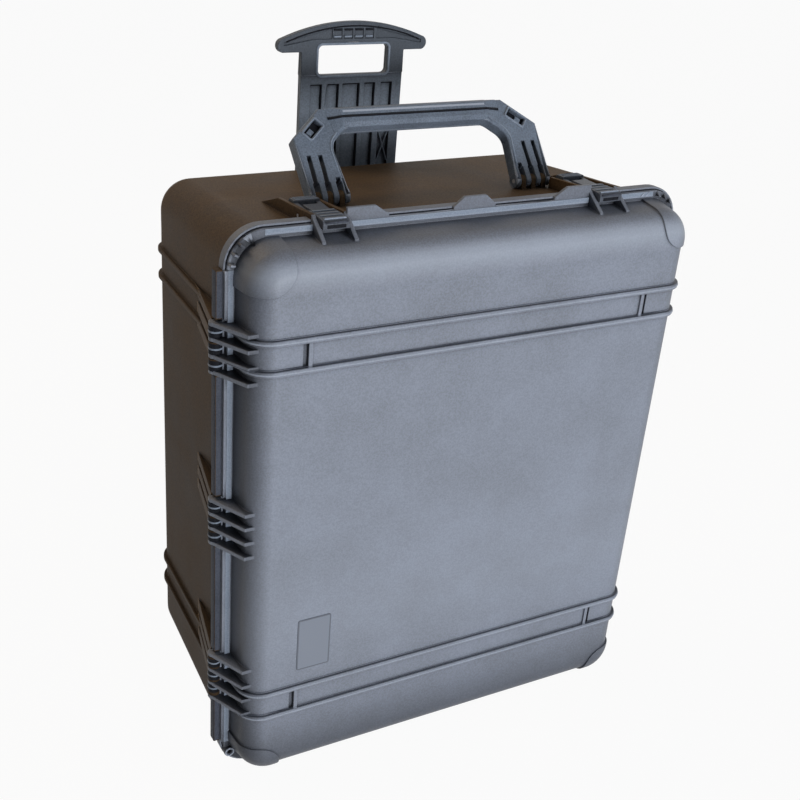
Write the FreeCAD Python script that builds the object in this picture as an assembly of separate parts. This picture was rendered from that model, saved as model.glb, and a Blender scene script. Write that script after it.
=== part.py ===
import FreeCAD, Part
import math
import os

# Wheeled transport case, standing on its wheel end, in millimetres.
# X runs across the case, Y from the lid face to the back and Z up.
# The origin is on the floor, below the middle of the case.

# Overall form
case_depth = 456.0
flange_half_width = 355.0
flange_half_height = 424.5
flange_corner_radius = 52.0
flange_edge_radius = 3.0
knuckle_reach = 371.0

# Depths from the lid's ridge faces
lid_face_depth = 5.0
lid_flange_depth = 62.0
seam_depth = 68.0
base_flange_depth = 82.0
seam_gap = 0.4
base_back_inset = 29.0
lid_flange_inset = 3.5

# Body walls, drafted from the seam to the closed ends
wall = 6.0
lid_seam_half_width = 342.0
lid_seam_half_height = 409.0
lid_face_half_width = 336.0
lid_face_half_height = 398.0
base_seam_half_width = 340.0
base_seam_half_height = 413.5
base_back_half_width = 321.0
base_back_half_height = 395.0
body_corner_radius = 46.0
lid_edge_radius = 32.0
base_edge_radius = 40.0

# Ridge bands round both shells, measured from the middle height
ridge_offsets = (293.0, 252.0)
ridge_thickness = 8.0
ridge_proud = 5.0
ridge_round = 2.0
bar_offset = 266.0
bar_width = 6.0
groove_width = 6.0
groove_depth = 3.0

# Raised corner pads on the lid
pad_start_x = 284.0
pad_start_z = 352.0
pad_round = 38.0
pad_proud = 3.0

# Rubber seal in the lid's rim
seal_inset = 3.5
seal_width = 4.4
seal_round = 1.2
groove_clearance = 0.3
groove_depth_seal = 5.0
soft_clearance = 0.3

# Hinge side
hinge_axis_reach = 362.0
hinge_axis_depth = 74.0
hinge_rib_thickness = 5.5
hinge_pin_radius = 2.5
hinge_end_clearance = 0.5
hinge_swing_clearance = 1.5
hinge_fit = 0.05
upper_hinge_offsets = (302.0, 281.5, 258.5, 237.0)
middle_hinge_offsets = (48.0, 27.0, 4.5, -18.5)
lower_hinge_offsets = (-210.0, -237.0, -261.0, -286.0)
lid_rib_end_depth = 14.0
lid_rib_end_reach = 343.0
bracket_foot_depth = 214.0
rib_tangent_share = 0.7
lid_strip_reach = 355.0
base_lip_reach = 364.4
strip_end_offset = 372.0
strip_hinge_gap = 3.0

# Latches: two on the top end and two on the opening side
top_latch_offset = 213.4
side_latch_offset = 272.5
latch_rib_half_spacing = 22.7
latch_rib_thickness = 6.0
rib_crest_height = 7.0
rib_peak_depth = 168.0
rib_peak_height = 1.0
rib_tail_depth = 222.0
rib_tail_height = -19.0
rib_inner_end_depth = 155.0
rib_lid_end_depth = 33.0
rib_root_height = -27.0
latch_side_clearance = 1.0
lever_pivot_depth = 106.0
pivot_height = -5.0
hook_pivot_step = 14.0
latch_pin_radius = 2.2
latch_pin_fit = 0.05
cheek_thickness = 6.0
cheek_radius = 6.2
tongue_radius = 6.0
tongue_clearance = 0.5
tongue_low = -2.0
tongue_top = 4.0
lever_plate_start = 27.0
lever_plate_end = 44.0
lever_plate_low = 1.0
lever_plate_high = 11.0
lever_lip = 3.0
hook_body_end_depth = 94.0
claw_thickness = 15.6
claw_gap = 0.4
claw_low = -8.0
hook_over_flange = 1.0
hook_nose_round = 4.0
latch_edge_chamfer = 1.2

# Upstanding tabs on the lid flange
tab_thickness = 5.0
tab_height = 13.0
centre_tab_top = 17.0
centre_tab_foot = 33.0
half_tab_top = 150.0
half_tab_foot = 130.0

# Carry handles
handle_pivot_depth = 169.0
top_pivot_height = -5.0
handle_foot_radius = 10.0
handle_foot_inner = 135.0
handle_foot_outer = 194.0
handle_knee_outer = 197.0
handle_knee_rise = 85.0
handle_corner_outer = 149.0
handle_rise = 126.0
handle_knee_inner = 142.0
handle_inner_rise = 72.0
grip_corner_inner = 115.0
grip_low = 96.0
handle_inner_round = 24.0
grip_half_thickness = 15.0
grip_bevel = 5.0
grip_groove = 2.4
grip_groove_depth = 1.6
handle_bevel = 2.0
prong_width = 8.0
prong_count = 4
long_slot_rise = 58.0
short_slot_rise = 24.0
fork_rise = 18.0
slot_width = 6.0
pocket_length = 34.0
pocket_width = 19.0
pocket_depth = 6.0
pocket_frame = 3.0
pocket_frame_proud = 1.4
pocket_inset = 13.0
handle_pin_radius = 3.0
handle_pin_fit = 0.05
ear_side_clearance = 0.4
ear_radius = 8.5
ear_foot_half = 13.0
top_handle_lean = 41.0
side_handle_lean = 90.0

# Trolley: a flat blade with a T grip that slides in a channel on the back
blade_half_width = 87.5
blade_gap = 2.0
blade_front_thickness = 6.5
blade_back_thickness = 3.5
grip_proud = 0.5
grip_underside = 988.0
grip_half_width = 127.0
grip_end_top = 1008.0
grip_crown = 1031.0
grip_end_round = 8.0
window_half_width = 59.0
window_low = 954.0
window_high = 996.0
window_crown = 1001.0
window_round = 7.0
blade_low = 490.0
blade_pocket_columns = ((-71.0, -51.0), (-42.0, -22.0), (-16.0, 14.0), (22.0, 41.0), (51.0, 71.0))
blade_pocket_top = 940.0
blade_pocket_low = 510.0
blade_pocket_depth = 5.0
brace_low = 812.0
brace_high = 872.0
brace_width = 4.0
grip_recess_inset = 10.0
grip_recess_depth = 2.0
notch_half_span = 36.0
notch_count = 4
notch_width = 3.0
channel_low = 70.0
channel_high = 802.0
channel_side = 9.0
channel_back_inset = 1.0
channel_slide_gap = 0.6
channel_web = 5.0
channel_groove_count = 4
channel_band_half = 20.0
channel_foot_width = 20.0
channel_foot_thickness = 4.0
channel_rib_count = 9
channel_rib_thickness = 4.0
channel_rib_width = 14.0
shoe_height = 22.0
shoe_width = 20.0
shoe_clearance = 0.3
screw_head_radius = 4.5
screw_head_height = 2.4
screw_shank_radius = 2.0
screw_hole_fit = 0.1
screw_engagement = 5.0
trolley_seat_thickness = 1.0
screw_drive_radius = 1.8
screw_drive_depth = 1.4
channel_screw_count = 5
trolley_screw_rows = (560.0, 700.0, 840.0)
trolley_screw_reach = 76.0

# Wheels in wells at the lower back corners
wheel_radius = 40.0
wheel_half_width = 17.0
wheel_centre_reach = 266.0
well_gap = 5.0
well_side_gap = 2.0
well_wall = 5.0
well_outer_block = 16.0
axle_radius = 5.0
axle_fit = 0.05
axle_end_gap = 1.0
tyre_depth = 12.0
tyre_round = 4.0
hub_web_half = 6.0
hub_rim = 5.0
hub_boss_radius = 15.0
bearing_radius = 11.0
bearing_width = 8.0
part_gap = 0.05
spoke_hole_count = 6
spoke_hole_radius = 3.2

# Pressure valve on the opening side and blank label plate on the lid
valve_depth = 150.0
valve_offset = -225.0
valve_head_radius = 13.0
valve_head_height = 5.0
valve_thread_radius = 8.0
valve_thread_reach = 9.0
valve_seal_height = 1.6
valve_slot_width = 4.0
valve_slot_depth = 2.0
label_left = -263.0
label_right = -211.0
label_low = 202.0
label_high = 289.0
label_thickness = 1.0
label_round = 3.0

# Small marks on the flange corners
left_corner_rib_angles = (10.0, 27.0, 44.0)
right_corner_rib_angles = (46.0, 63.0, 80.0)
corner_rib_length = 7.0
corner_rib_thickness = 3.0
corner_rib_proud = 9.0
boss_inset_x = 12.0
boss_height = 34.0
boss_radius = 8.0
boss_proud = 5.0
boss_hole_radius = 3.0

# Tool overrun for cuts that go right through, and the turns and limits of the tools
overrun = 5.0
quarter_turn = 90.0
half_turn = 180.0
flat_share = 0.999
match_gap = 0.001

# Derived places in the case's own frame
front_y = -case_depth / 2
middle_z = flange_half_height
top_z = 2 * flange_half_height
lid_face_y = front_y + lid_face_depth
lid_flange_y = front_y + lid_flange_depth
seam_y = front_y + seam_depth
lid_rim_y = seam_y - seam_gap / 2
base_rim_y = seam_y + seam_gap / 2
base_flange_y = front_y + base_flange_depth
base_back_y = case_depth / 2 - base_back_inset
hinge_x = -hinge_axis_reach
hinge_y = front_y + hinge_axis_depth
knuckle_radius = knuckle_reach - hinge_axis_reach
wheel_y = case_depth / 2 - wheel_radius
latch_half_width = latch_rib_half_spacing - latch_rib_thickness / 2 - latch_side_clearance
tongue_half_width = latch_half_width - cheek_thickness - tongue_clearance
side_pivot_height = knuckle_reach - flange_half_width - grip_half_thickness
prong_pitch = (handle_foot_outer - handle_foot_inner - prong_width) / (prong_count - 1)
blade_front_y = base_back_y + blade_gap
split_y = blade_front_y + blade_front_thickness
blade_back_y = split_y + blade_back_thickness
grip_front_y = blade_front_y - grip_proud
grip_back_y = blade_back_y + grip_proud
slot_back_y = blade_back_y + channel_slide_gap
channel_back_y = case_depth / 2 - channel_back_inset
trolley_seat_y = split_y + trolley_seat_thickness


def vec(x, y, z):
    """Point or direction."""
    return FreeCAD.Vector(x, y, z)


def block(x_range, y_range, z_range):
    """Box between two limits on each axis."""
    size = [high - low for low, high in (x_range, y_range, z_range)]
    return Part.makeBox(*size, vec(x_range[0], y_range[0], z_range[0]))


def rod(radius, start, end):
    """Round bar between two points."""
    run = end - start
    return Part.makeCylinder(radius, run.Length, start, run)


def fused(shapes):
    """One solid made of overlapping shapes."""
    first, *others = shapes
    return first.multiFuse(others).removeSplitter() if others else first


def face_of(points):
    """Flat face inside a closed outline."""
    return Part.Face(Part.makePolygon(points + points[:1]))


def prism_x(outline, x_range):
    """Outline of (y, z) points, drawn out along X."""
    face = face_of([vec(x_range[0], y, z) for y, z in outline])
    return face.extrude(vec(x_range[1] - x_range[0], 0, 0))


def prism_y(outline, y_range):
    """Outline of (x, z) points, drawn out along Y."""
    face = face_of([vec(x, y_range[0], z) for x, z in outline])
    return face.extrude(vec(0, y_range[1] - y_range[0], 0))


def prism_z(outline, z_range):
    """Outline of (x, y) points, drawn out along Z."""
    face = face_of([vec(x, y, z_range[0]) for x, y in outline])
    return face.extrude(vec(0, 0, z_range[1] - z_range[0]))


def rounded_plate(half_width, half_height, radius, y_range, centre_z=middle_z):
    """Upright plate with round corners, square to Y."""
    plate = block((-half_width, half_width), y_range, (centre_z - half_height, centre_z + half_height))
    corners = [edge for edge in plate.Edges if abs(edge.tangentAt(edge.FirstParameter).y) > flat_share]
    return plate.makeFillet(radius, corners)


def edges_at_y(shape, y):
    """Edges that lie wholly in one upright plane."""
    return [edge for edge in shape.Edges
            if abs(edge.BoundBox.YMin - y) < match_gap and abs(edge.BoundBox.YMax - y) < match_gap]


def tub(open_half, open_y, closed_half, closed_y, corner_radius, edge_radius):
    """Solid tub, drafted from its open end to its closed end, with round corners and closed-end edge."""
    rings = []
    for (half_width, half_height), y in ((open_half, open_y), (closed_half, closed_y)):
        corners = [vec(sx * half_width, y, middle_z + sz * half_height)
                   for sx, sz in ((-1, -1), (1, -1), (1, 1), (-1, 1))]
        rings.append(Part.makePolygon(corners + corners[:1]))
    solid = Part.makeLoft(rings, True, True)
    long_edges = [edge for edge in solid.Edges if edge.BoundBox.YLength > abs(closed_y - open_y) / 2]
    solid = solid.makeFillet(corner_radius, long_edges)
    return solid.makeFillet(edge_radius, edges_at_y(solid, closed_y))


def lid_tub(grow, face_y, rim_y):
    """Lid body, grown outward by one distance all round."""
    return tub((lid_seam_half_width + grow, lid_seam_half_height + grow), rim_y,
               (lid_face_half_width + grow, lid_face_half_height + grow), face_y,
               body_corner_radius + grow, lid_edge_radius + grow)


def base_tub(grow, back_y, rim_y):
    """Base body, grown outward by one distance all round."""
    return tub((base_seam_half_width + grow, base_seam_half_height + grow), rim_y,
               (base_back_half_width + grow, base_back_half_height + grow), back_y,
               body_corner_radius + grow, base_edge_radius + grow)


def ridge_heights():
    """Heights of all the ridges, upper and lower."""
    return [middle_z + side * offset for side in (1, -1) for offset in ridge_offsets]


def ridges(grown, y_range):
    """Ridge rings: slices of a grown body with round outer edges."""
    rings = []
    reach = flange_half_width + overrun
    for height in ridge_heights():
        slab = block((-reach, reach), y_range, (height - ridge_thickness / 2, height + ridge_thickness / 2))
        ring = grown.common(slab)
        outer = [edge for edge in ring.Edges
                 if edge.BoundBox.ZLength < match_gap and edge.BoundBox.YLength > match_gap]
        rings.append(ring.makeFillet(ridge_round, outer))
    return rings


def hinge_groups():
    """Heights of the lid ribs in each hinge, from the top down."""
    return [[middle_z + offset for offset in offsets]
            for offsets in (upper_hinge_offsets, middle_hinge_offsets, lower_hinge_offsets)]


def hinge_slots(group):
    """Height spans of the base knuckles between a hinge's lid ribs."""
    inset = hinge_rib_thickness / 2 + hinge_end_clearance
    return [(low + inset, high - inset) for high, low in zip(group, group[1:])]


def on_top(shape):
    """Place a shape made in flange coordinates on the top end."""
    placed = shape.copy()
    placed.translate(vec(0, 0, top_z))
    return placed


def on_side(shape):
    """Place a shape made in flange coordinates on the opening side."""
    placed = shape.copy()
    placed.rotate(vec(0, 0, 0), vec(0, 1, 0), quarter_turn)
    placed.translate(vec(flange_half_width, 0, middle_z))
    return placed


def latch_seats():
    """Node suffix, placing function and offset along the edge of each latch."""
    return [("top_left", on_top, -top_latch_offset), ("top_right", on_top, top_latch_offset),
            ("side_upper", on_side, -side_latch_offset), ("side_lower", on_side, side_latch_offset)]


def latch_rib_spans(offset):
    """Across spans of a latch's two ribs, the outer one first."""
    away = math.copysign(1, offset)
    spans = []
    for side in (away, -away):
        centre = offset + side * latch_rib_half_spacing
        spans.append((centre - latch_rib_thickness / 2, centre + latch_rib_thickness / 2))
    return spans


def latch_base_ribs(offset, short_inner):
    """Base halves of a latch's ribs, with the bore for the lever pin."""
    full = [(base_rim_y, rib_root_height), (base_rim_y, rib_crest_height),
            (front_y + rib_peak_depth, rib_peak_height), (front_y + rib_tail_depth, rib_tail_height),
            (front_y + rib_tail_depth, rib_root_height)]
    short = full[:2] + [(front_y + rib_inner_end_depth, rib_peak_height),
                        (front_y + rib_inner_end_depth, rib_root_height)]
    outer_span, inner_span = latch_rib_spans(offset)
    ribs = [prism_x(full, outer_span), prism_x(short if short_inner else full, inner_span)]
    return Part.makeCompound(ribs)


def latch_lid_ribs(offset):
    """Lid halves of a latch's ribs."""
    outline = [(lid_rim_y, rib_root_height), (lid_rim_y, rib_crest_height),
               (front_y + rib_lid_end_depth, rib_tail_height), (front_y + rib_lid_end_depth, rib_root_height)]
    return Part.makeCompound([prism_x(outline, span) for span in latch_rib_spans(offset)])


def lever_pin(offset, radius):
    """Pin through both ribs, which the lever turns on."""
    half = latch_rib_half_spacing + latch_rib_thickness / 2
    at = (front_y + lever_pivot_depth, pivot_height)
    return rod(radius, vec(offset - half, *at), vec(offset + half, *at))


def hook_pin(offset, radius, end_inset):
    """Pin through the lever's cheeks, which the hook turns on."""
    half = latch_half_width - end_inset
    at = (front_y + lever_pivot_depth + hook_pivot_step, pivot_height)
    return rod(radius, vec(offset - half, *at), vec(offset + half, *at))


def latch_lever(offset):
    """Lever: two cheeks on the fixed pin, joined by the plate that is pulled."""
    pivot_y = front_y + lever_pivot_depth
    plate_y = (pivot_y + lever_plate_start, pivot_y + lever_plate_end)
    plate_z = (pivot_height + lever_plate_low, pivot_height + lever_plate_high)
    span = (offset - latch_half_width, offset + latch_half_width)
    lip_y = plate_y[1] - lever_lip
    plate = [(plate_y[0], plate_z[0]), (plate_y[0], plate_z[1]), (lip_y, plate_z[1]),
             (plate_y[1], plate_z[1] - lever_lip), (plate_y[1], plate_z[0] + lever_lip), (lip_y, plate_z[0])]
    pieces = [prism_x(plate, span)]
    for side in (-1, 1):
        inner = offset + side * (latch_half_width - cheek_thickness)
        outer = offset + side * latch_half_width
        cheek_span = (min(inner, outer), max(inner, outer))
        web = [(pivot_y, pivot_height - cheek_radius), (pivot_y, pivot_height + cheek_radius),
               (plate_y[0] + lever_lip, plate_z[1] - lever_lip), (plate_y[0] + lever_lip, plate_z[0])]
        pieces.append(prism_x(web, cheek_span))
        pieces.append(rod(cheek_radius, vec(cheek_span[0], pivot_y, pivot_height),
                          vec(cheek_span[1], pivot_y, pivot_height)))
    lever = fused(pieces)
    lever = lever.cut(lever_pin(offset, latch_pin_radius + latch_pin_fit))
    return lever.cut(hook_pin(offset, latch_pin_radius, 0))


def latch_hook(offset):
    """Hook: a broad claw over the flange, with a tongue back to its pin in the lever."""
    pin_y = front_y + lever_pivot_depth + hook_pivot_step
    claw_y = lid_flange_y - claw_gap
    nose_y = claw_y - claw_thickness
    body_end = front_y + hook_body_end_depth
    claw = [(nose_y, claw_low), (claw_y, claw_low), (claw_y, hook_over_flange),
            (body_end, hook_over_flange), (body_end, tongue_top),
            (claw_y + hook_nose_round, tongue_top + latch_edge_chamfer),
            (nose_y + hook_nose_round, tongue_top), (nose_y, hook_over_flange)]
    body = prism_x(claw, (offset - latch_half_width, offset + latch_half_width))
    span = (offset - tongue_half_width, offset + tongue_half_width)
    root_y = body_end - overrun
    tongue = prism_x([(root_y, hook_over_flange), (root_y, tongue_top), (pin_y, tongue_top),
                      (pin_y + tongue_radius, pivot_height), (pin_y - tongue_radius, pivot_height),
                      (pin_y - tongue_radius, tongue_low), (body_end, tongue_low)], span)
    boss = rod(tongue_radius, vec(span[0], pin_y, pivot_height), vec(span[1], pin_y, pivot_height))
    return fused([body, tongue, boss]).cut(hook_pin(offset, latch_pin_radius + latch_pin_fit, 0))


def flange_tabs():
    """Upstanding tabs on the lid flange of the top end, in flange coordinates."""
    y_range = (lid_rim_y - tab_thickness, lid_rim_y)
    foot = -flange_edge_radius - overrun
    tabs = [prism_y([(-centre_tab_foot, 0), (-centre_tab_top, tab_height), (centre_tab_top, tab_height),
                     (centre_tab_foot, 0), (centre_tab_foot, foot), (-centre_tab_foot, foot)], y_range)]
    inner_rib = top_latch_offset - latch_rib_half_spacing
    for side in (-1, 1):
        tabs.append(prism_y([(side * inner_rib, foot), (side * inner_rib, tab_height),
                             (side * half_tab_top, tab_height), (side * half_tab_foot, 0),
                             (side * half_tab_foot, foot)], y_range))
    return tabs


def prong_centres():
    """Distances from the middle of the prongs of a handle leg, the inner one first."""
    first = handle_foot_inner + prong_width / 2
    return [first + number * prong_pitch for number in range(prong_count)]


def ear_centres():
    """Distances from the middle of the base ears, one between each two prongs."""
    prongs = prong_centres()
    return [(one + two) / 2 for one, two in zip(prongs, prongs[1:])]


def handle_seats():
    """Placing function, pivot height and lean of each carry handle."""
    return [(on_top, top_pivot_height, top_handle_lean), (on_side, side_pivot_height, side_handle_lean)]


def handle_ears(pivot_height):
    """Ears on the base for one handle, in flange coordinates."""
    half = (prong_pitch - prong_width) / 2 - ear_side_clearance
    pivot_y = front_y + handle_pivot_depth
    ears = []
    for side in (-1, 1):
        for centre in ear_centres():
            span = (side * centre - half, side * centre + half)
            foot = [(pivot_y - ear_foot_half, rib_root_height), (pivot_y - ear_radius, pivot_height),
                    (pivot_y + ear_radius, pivot_height), (pivot_y + ear_foot_half, rib_root_height)]
            ears.append(prism_x(foot, span))
            ears.append(rod(ear_radius, vec(span[0], pivot_y, pivot_height),
                            vec(span[1], pivot_y, pivot_height)))
    return ears


def handle_pins(radius, end_inset, pivot_height):
    """Two pins, one through the prongs and ears of each leg."""
    at = (front_y + handle_pivot_depth, pivot_height)
    pins = []
    for side in (-1, 1):
        ends = sorted((side * (handle_foot_inner + end_inset), side * (handle_foot_outer - end_inset)))
        pins.append(rod(radius, vec(ends[0], *at), vec(ends[1], *at)))
    return pins


def knee_pocket(side, length, width, y_range):
    """Slanted rectangle beside a knee's outer edge, drawn through a thickness."""
    knee = vec(side * handle_knee_outer, 0, handle_knee_rise)
    corner = vec(side * handle_corner_outer, 0, handle_rise)
    along = (corner - knee).normalize()
    inward = vec(-side * along.z, 0, side * along.x)
    centre = (knee + corner) / 2 + inward * pocket_inset
    points = [centre + along * (sa * length / 2) + inward * (si * width / 2)
              for sa, si in ((-1, -1), (1, -1), (1, 1), (-1, 1))]
    return prism_y([(point.x, point.z) for point in points], y_range)


def inner_corners(plate):
    """Thickness edges at the knees and grip corners inside a handle's plate."""
    places = [(handle_knee_inner, handle_inner_rise), (grip_corner_inner, grip_low)]
    return [edge for edge in plate.Edges for across_reach, rise in places
            if abs(abs(edge.BoundBox.Center.x) - across_reach) < match_gap
            and abs(edge.BoundBox.Center.z - rise) < match_gap]


def grip_section():
    """Outline (y, z) of the grip bar, with bevelled edges."""
    thick, bevel = grip_half_thickness, grip_bevel
    front = [(-thick, grip_low + bevel), (-thick, handle_rise - bevel), (bevel - thick, handle_rise)]
    back = [(thick - bevel, handle_rise), (thick, handle_rise - bevel), (thick, grip_low + bevel)]
    return front + back + [(thick - bevel, grip_low), (bevel - thick, grip_low)]


def carry_handle(pivot_height, lean):
    """Carry handle with forked legs, made upright on its pivot and then leaned back."""
    half = handle_foot_radius
    outline = []
    for side in (-1, 1):
        leg = [(side * handle_foot_outer, 0), (side * handle_knee_outer, handle_knee_rise),
               (side * handle_corner_outer, handle_rise)]
        outline += leg if side < 0 else leg[::-1]
    for side in (1, -1):
        inner = [(side * handle_foot_inner, 0), (side * handle_knee_inner, handle_inner_rise),
                 (side * grip_corner_inner, grip_low)]
        outline += inner if side > 0 else inner[::-1]
    plate = prism_y(outline, (-half, half))
    plate = plate.makeFillet(handle_inner_round, inner_corners(plate))
    rims = [edge for end in (-half, half) for edge in edges_at_y(plate, end)
            if edge.BoundBox.ZMax > match_gap]
    plate = plate.makeChamfer(handle_bevel, rims)
    grip_reach = grip_corner_inner + grip_bevel
    pieces = [plate, prism_x(grip_section(), (-grip_reach, grip_reach))]
    for side in (-1, 1):
        ends = sorted((side * handle_foot_inner, side * handle_foot_outer))
        pieces.append(rod(half, vec(ends[0], 0, 0), vec(ends[1], 0, 0)))
        pieces.append(knee_pocket(side, pocket_length, pocket_width,
                                  (-half - pocket_frame_proud, half + pocket_frame_proud)))
    handle = fused(pieces)
    cutters = []
    fork_half = (prong_pitch - prong_width) / 2
    slot_rises = (short_slot_rise, long_slot_rise, long_slot_rise)
    through = (-grip_half_thickness - overrun, grip_half_thickness + overrun)
    for side in (-1, 1):
        for centre, rise in zip(ear_centres(), slot_rises):
            at = side * centre
            cutters.append(block((at - fork_half, at + fork_half), through, (-half - overrun, fork_rise)))
            cutters.append(block((at - slot_width / 2, at + slot_width / 2), through, (0, rise)))
        window = (pocket_length - 2 * pocket_frame, pocket_width - 2 * pocket_frame)
        for face in (-1, 1):
            ends = sorted((face * (half + pocket_frame_proud + overrun), face * (half - pocket_depth)))
            cutters.append(knee_pocket(side, *window, ends))
    groove_z = handle_rise - grip_bevel - grip_groove
    groove_face = grip_groove_depth - grip_half_thickness
    cutters.append(block((-grip_corner_inner, grip_corner_inner), (through[0], groove_face),
                         (groove_z - grip_groove, groove_z)))
    handle = handle.cut(Part.makeCompound(cutters))
    for pin in handle_pins(handle_pin_radius + handle_pin_fit, -overrun, 0):
        pin.translate(vec(0, -front_y - handle_pivot_depth, 0))
        handle = handle.cut(pin)
    handle.rotate(vec(0, 0, 0), vec(1, 0, 0), -lean)
    handle.translate(vec(0, front_y + handle_pivot_depth, pivot_height))
    return handle


def wheel_places():
    """Side name and signed distance across the case of each wheel."""
    return [("left", -wheel_centre_reach), ("right", wheel_centre_reach)]


def across(centre, half_width, radius):
    """Round bar on a wheel's axis."""
    ends = [vec(centre + side * half_width, wheel_y, wheel_radius) for side in (-1, 1)]
    return rod(radius, *ends)


def well_span(place, inner, outer):
    """Span across the case from a wheel well's inner wall to its outer one."""
    side = math.copysign(1, place)
    ends = (place - side * (wheel_half_width + well_side_gap + inner),
            place + side * (wheel_half_width + well_side_gap + outer))
    return min(ends), max(ends)


def axle(place, radius, blind_gap):
    """Axle from the well's inner wall, through the wheel, into the outer block."""
    side = math.copysign(1, place)
    inner = place - side * (wheel_half_width + well_side_gap + well_wall - axle_end_gap + blind_gap)
    outer = place + side * (wheel_half_width + well_side_gap + well_outer_block / 2 + blind_gap)
    return rod(radius, vec(inner, wheel_y, wheel_radius), vec(outer, wheel_y, wheel_radius))


def channel_screw_places():
    """Places (x, z) of the screws that hold the trolley channel."""
    reach = blade_half_width + channel_slide_gap + channel_side + channel_foot_width / 2
    span = channel_high - channel_low
    step = span / channel_screw_count
    return [(side * reach, channel_low + step * number + step / 2)
            for side in (-1, 1) for number in range(channel_screw_count)]


def screw(x, seat_y, z, engagement):
    """Pan-head screw with a round drive, standing out of a face towards the back."""
    head = rod(screw_head_radius, vec(x, seat_y, z), vec(x, seat_y + screw_head_height, z))
    head = head.makeFillet(screw_head_height / 2, edges_at_y(head, seat_y + screw_head_height))
    shank = rod(screw_shank_radius, vec(x, seat_y - engagement, z), vec(x, seat_y, z))
    drive = rod(screw_drive_radius, vec(x, seat_y + screw_head_height - screw_drive_depth, z),
                vec(x, seat_y + screw_head_height + overrun, z))
    return head.fuse(shank).cut(drive)


def screw_hole(x, seat_y, z, engagement):
    """Clearance hole for one screw."""
    depth = engagement + screw_hole_fit
    return rod(screw_shank_radius + screw_hole_fit, vec(x, seat_y - depth, z), vec(x, seat_y, z))


def base_shell():
    """Base half of the case with its flange, ridges, ribs, ears, hinge brackets and wheel wells."""
    outer = base_tub(0, base_back_y, base_rim_y)
    rings = ridges(base_tub(ridge_proud, base_back_y + ridge_proud, base_rim_y), (base_rim_y, case_depth))
    flange_y = (base_rim_y, base_flange_y)
    flange = rounded_plate(flange_half_width, flange_half_height, flange_corner_radius, flange_y)
    flange = flange.makeFillet(flange_edge_radius, edges_at_y(flange, base_flange_y))
    pieces = [outer, flange] + rings
    for low, high in strip_spans():
        pieces.append(block((-base_lip_reach, -base_seam_half_width), flange_y, (low, high)))
    for group in hinge_groups():
        for low, high in hinge_slots(group):
            pieces.append(rod(knuckle_radius, vec(hinge_x, hinge_y, low), vec(hinge_x, hinge_y, high)))
            foot_x = -base_seam_half_width + wall
            bracket = [(hinge_x, hinge_y + knuckle_radius), (hinge_x, hinge_y), (foot_x, base_rim_y),
                       (foot_x, front_y + bracket_foot_depth)]
            pieces.append(prism_z(bracket, (low, high)))
    for name, place, offset in latch_seats():
        pieces += place(latch_base_ribs(offset, place is on_top)).Solids
    for place, height, lean in handle_seats():
        pieces += [place(ear) for ear in handle_ears(height)]
    shell = fused(pieces)
    housing_parts = []
    for name, reach in wheel_places():
        span = well_span(reach, well_wall, well_outer_block)
        housing = rod(wheel_radius + well_gap + well_wall, vec(span[0], wheel_y, wheel_radius),
                      vec(span[1], wheel_y, wheel_radius))
        housing_parts.append(housing.common(outer))
    hollow = base_tub(-wall, base_back_y - wall, base_rim_y - overrun)
    shell = shell.cut(hollow)
    shell = fused([shell] + housing_parts)
    cutters = []
    for name, reach in wheel_places():
        span = well_span(reach, 0, 0)
        cutters.append(rod(wheel_radius + well_gap, vec(span[0], wheel_y, wheel_radius),
                           vec(span[1], wheel_y, wheel_radius)))
        cutters.append(axle(reach, axle_radius + axle_fit, axle_end_gap))
    channel_reach = (blade_half_width + channel_slide_gap + channel_side + channel_foot_width
                     + soft_clearance)
    cutters.append(block((-channel_reach, channel_reach), (base_back_y, case_depth), (0, top_z)))
    for x, z in channel_screw_places():
        cutters.append(screw_hole(x, base_back_y, z, screw_engagement))
    for group in hinge_groups():
        for height in group:
            half = hinge_rib_thickness / 2 + hinge_end_clearance
            cutters.append(rod(knuckle_radius + hinge_swing_clearance, vec(hinge_x, hinge_y, height - half),
                               vec(hinge_x, hinge_y, height + half)))
        cutters.append(hinge_pin(group, hinge_pin_radius))
    for name, place, offset in latch_seats():
        cutters.append(place(lever_pin(offset, latch_pin_radius)))
    for place, height, lean in handle_seats():
        cutters += [place(pin) for pin in handle_pins(handle_pin_radius, 0, height)]
    cutters.append(on_side(valve_bore(valve_thread_radius + part_gap)))
    cutters.append(on_side(valve_seat()))
    return shell.cut(Part.makeCompound(cutters))


def strip_spans():
    """Height spans of the hinge-side strips between the hinges and the round corners."""
    groups = hinge_groups()
    margin = hinge_rib_thickness / 2 + strip_hinge_gap
    tops = [middle_z + strip_end_offset] + [group[-1] - margin for group in groups]
    lows = [group[0] + margin for group in groups] + [middle_z - strip_end_offset]
    return [(low, high) for high, low in zip(tops, lows)]


def hinge_pin(group, radius):
    """Steel rod through one hinge."""
    half = hinge_rib_thickness / 2
    return rod(radius, vec(hinge_x, hinge_y, group[-1] - half), vec(hinge_x, hinge_y, group[0] + half))


def seal_ring(half_section, y_range):
    """Rounded ring that follows the lid's rim."""
    half_width = lid_seam_half_width - wall + seal_inset
    half_height = lid_seam_half_height - wall + seal_inset
    radius = body_corner_radius - wall + seal_inset
    outer, inner = [rounded_plate(half_width + side * half_section, half_height + side * half_section,
                                  radius + side * half_section, y_range) for side in (1, -1)]
    return outer.cut(inner)


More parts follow.
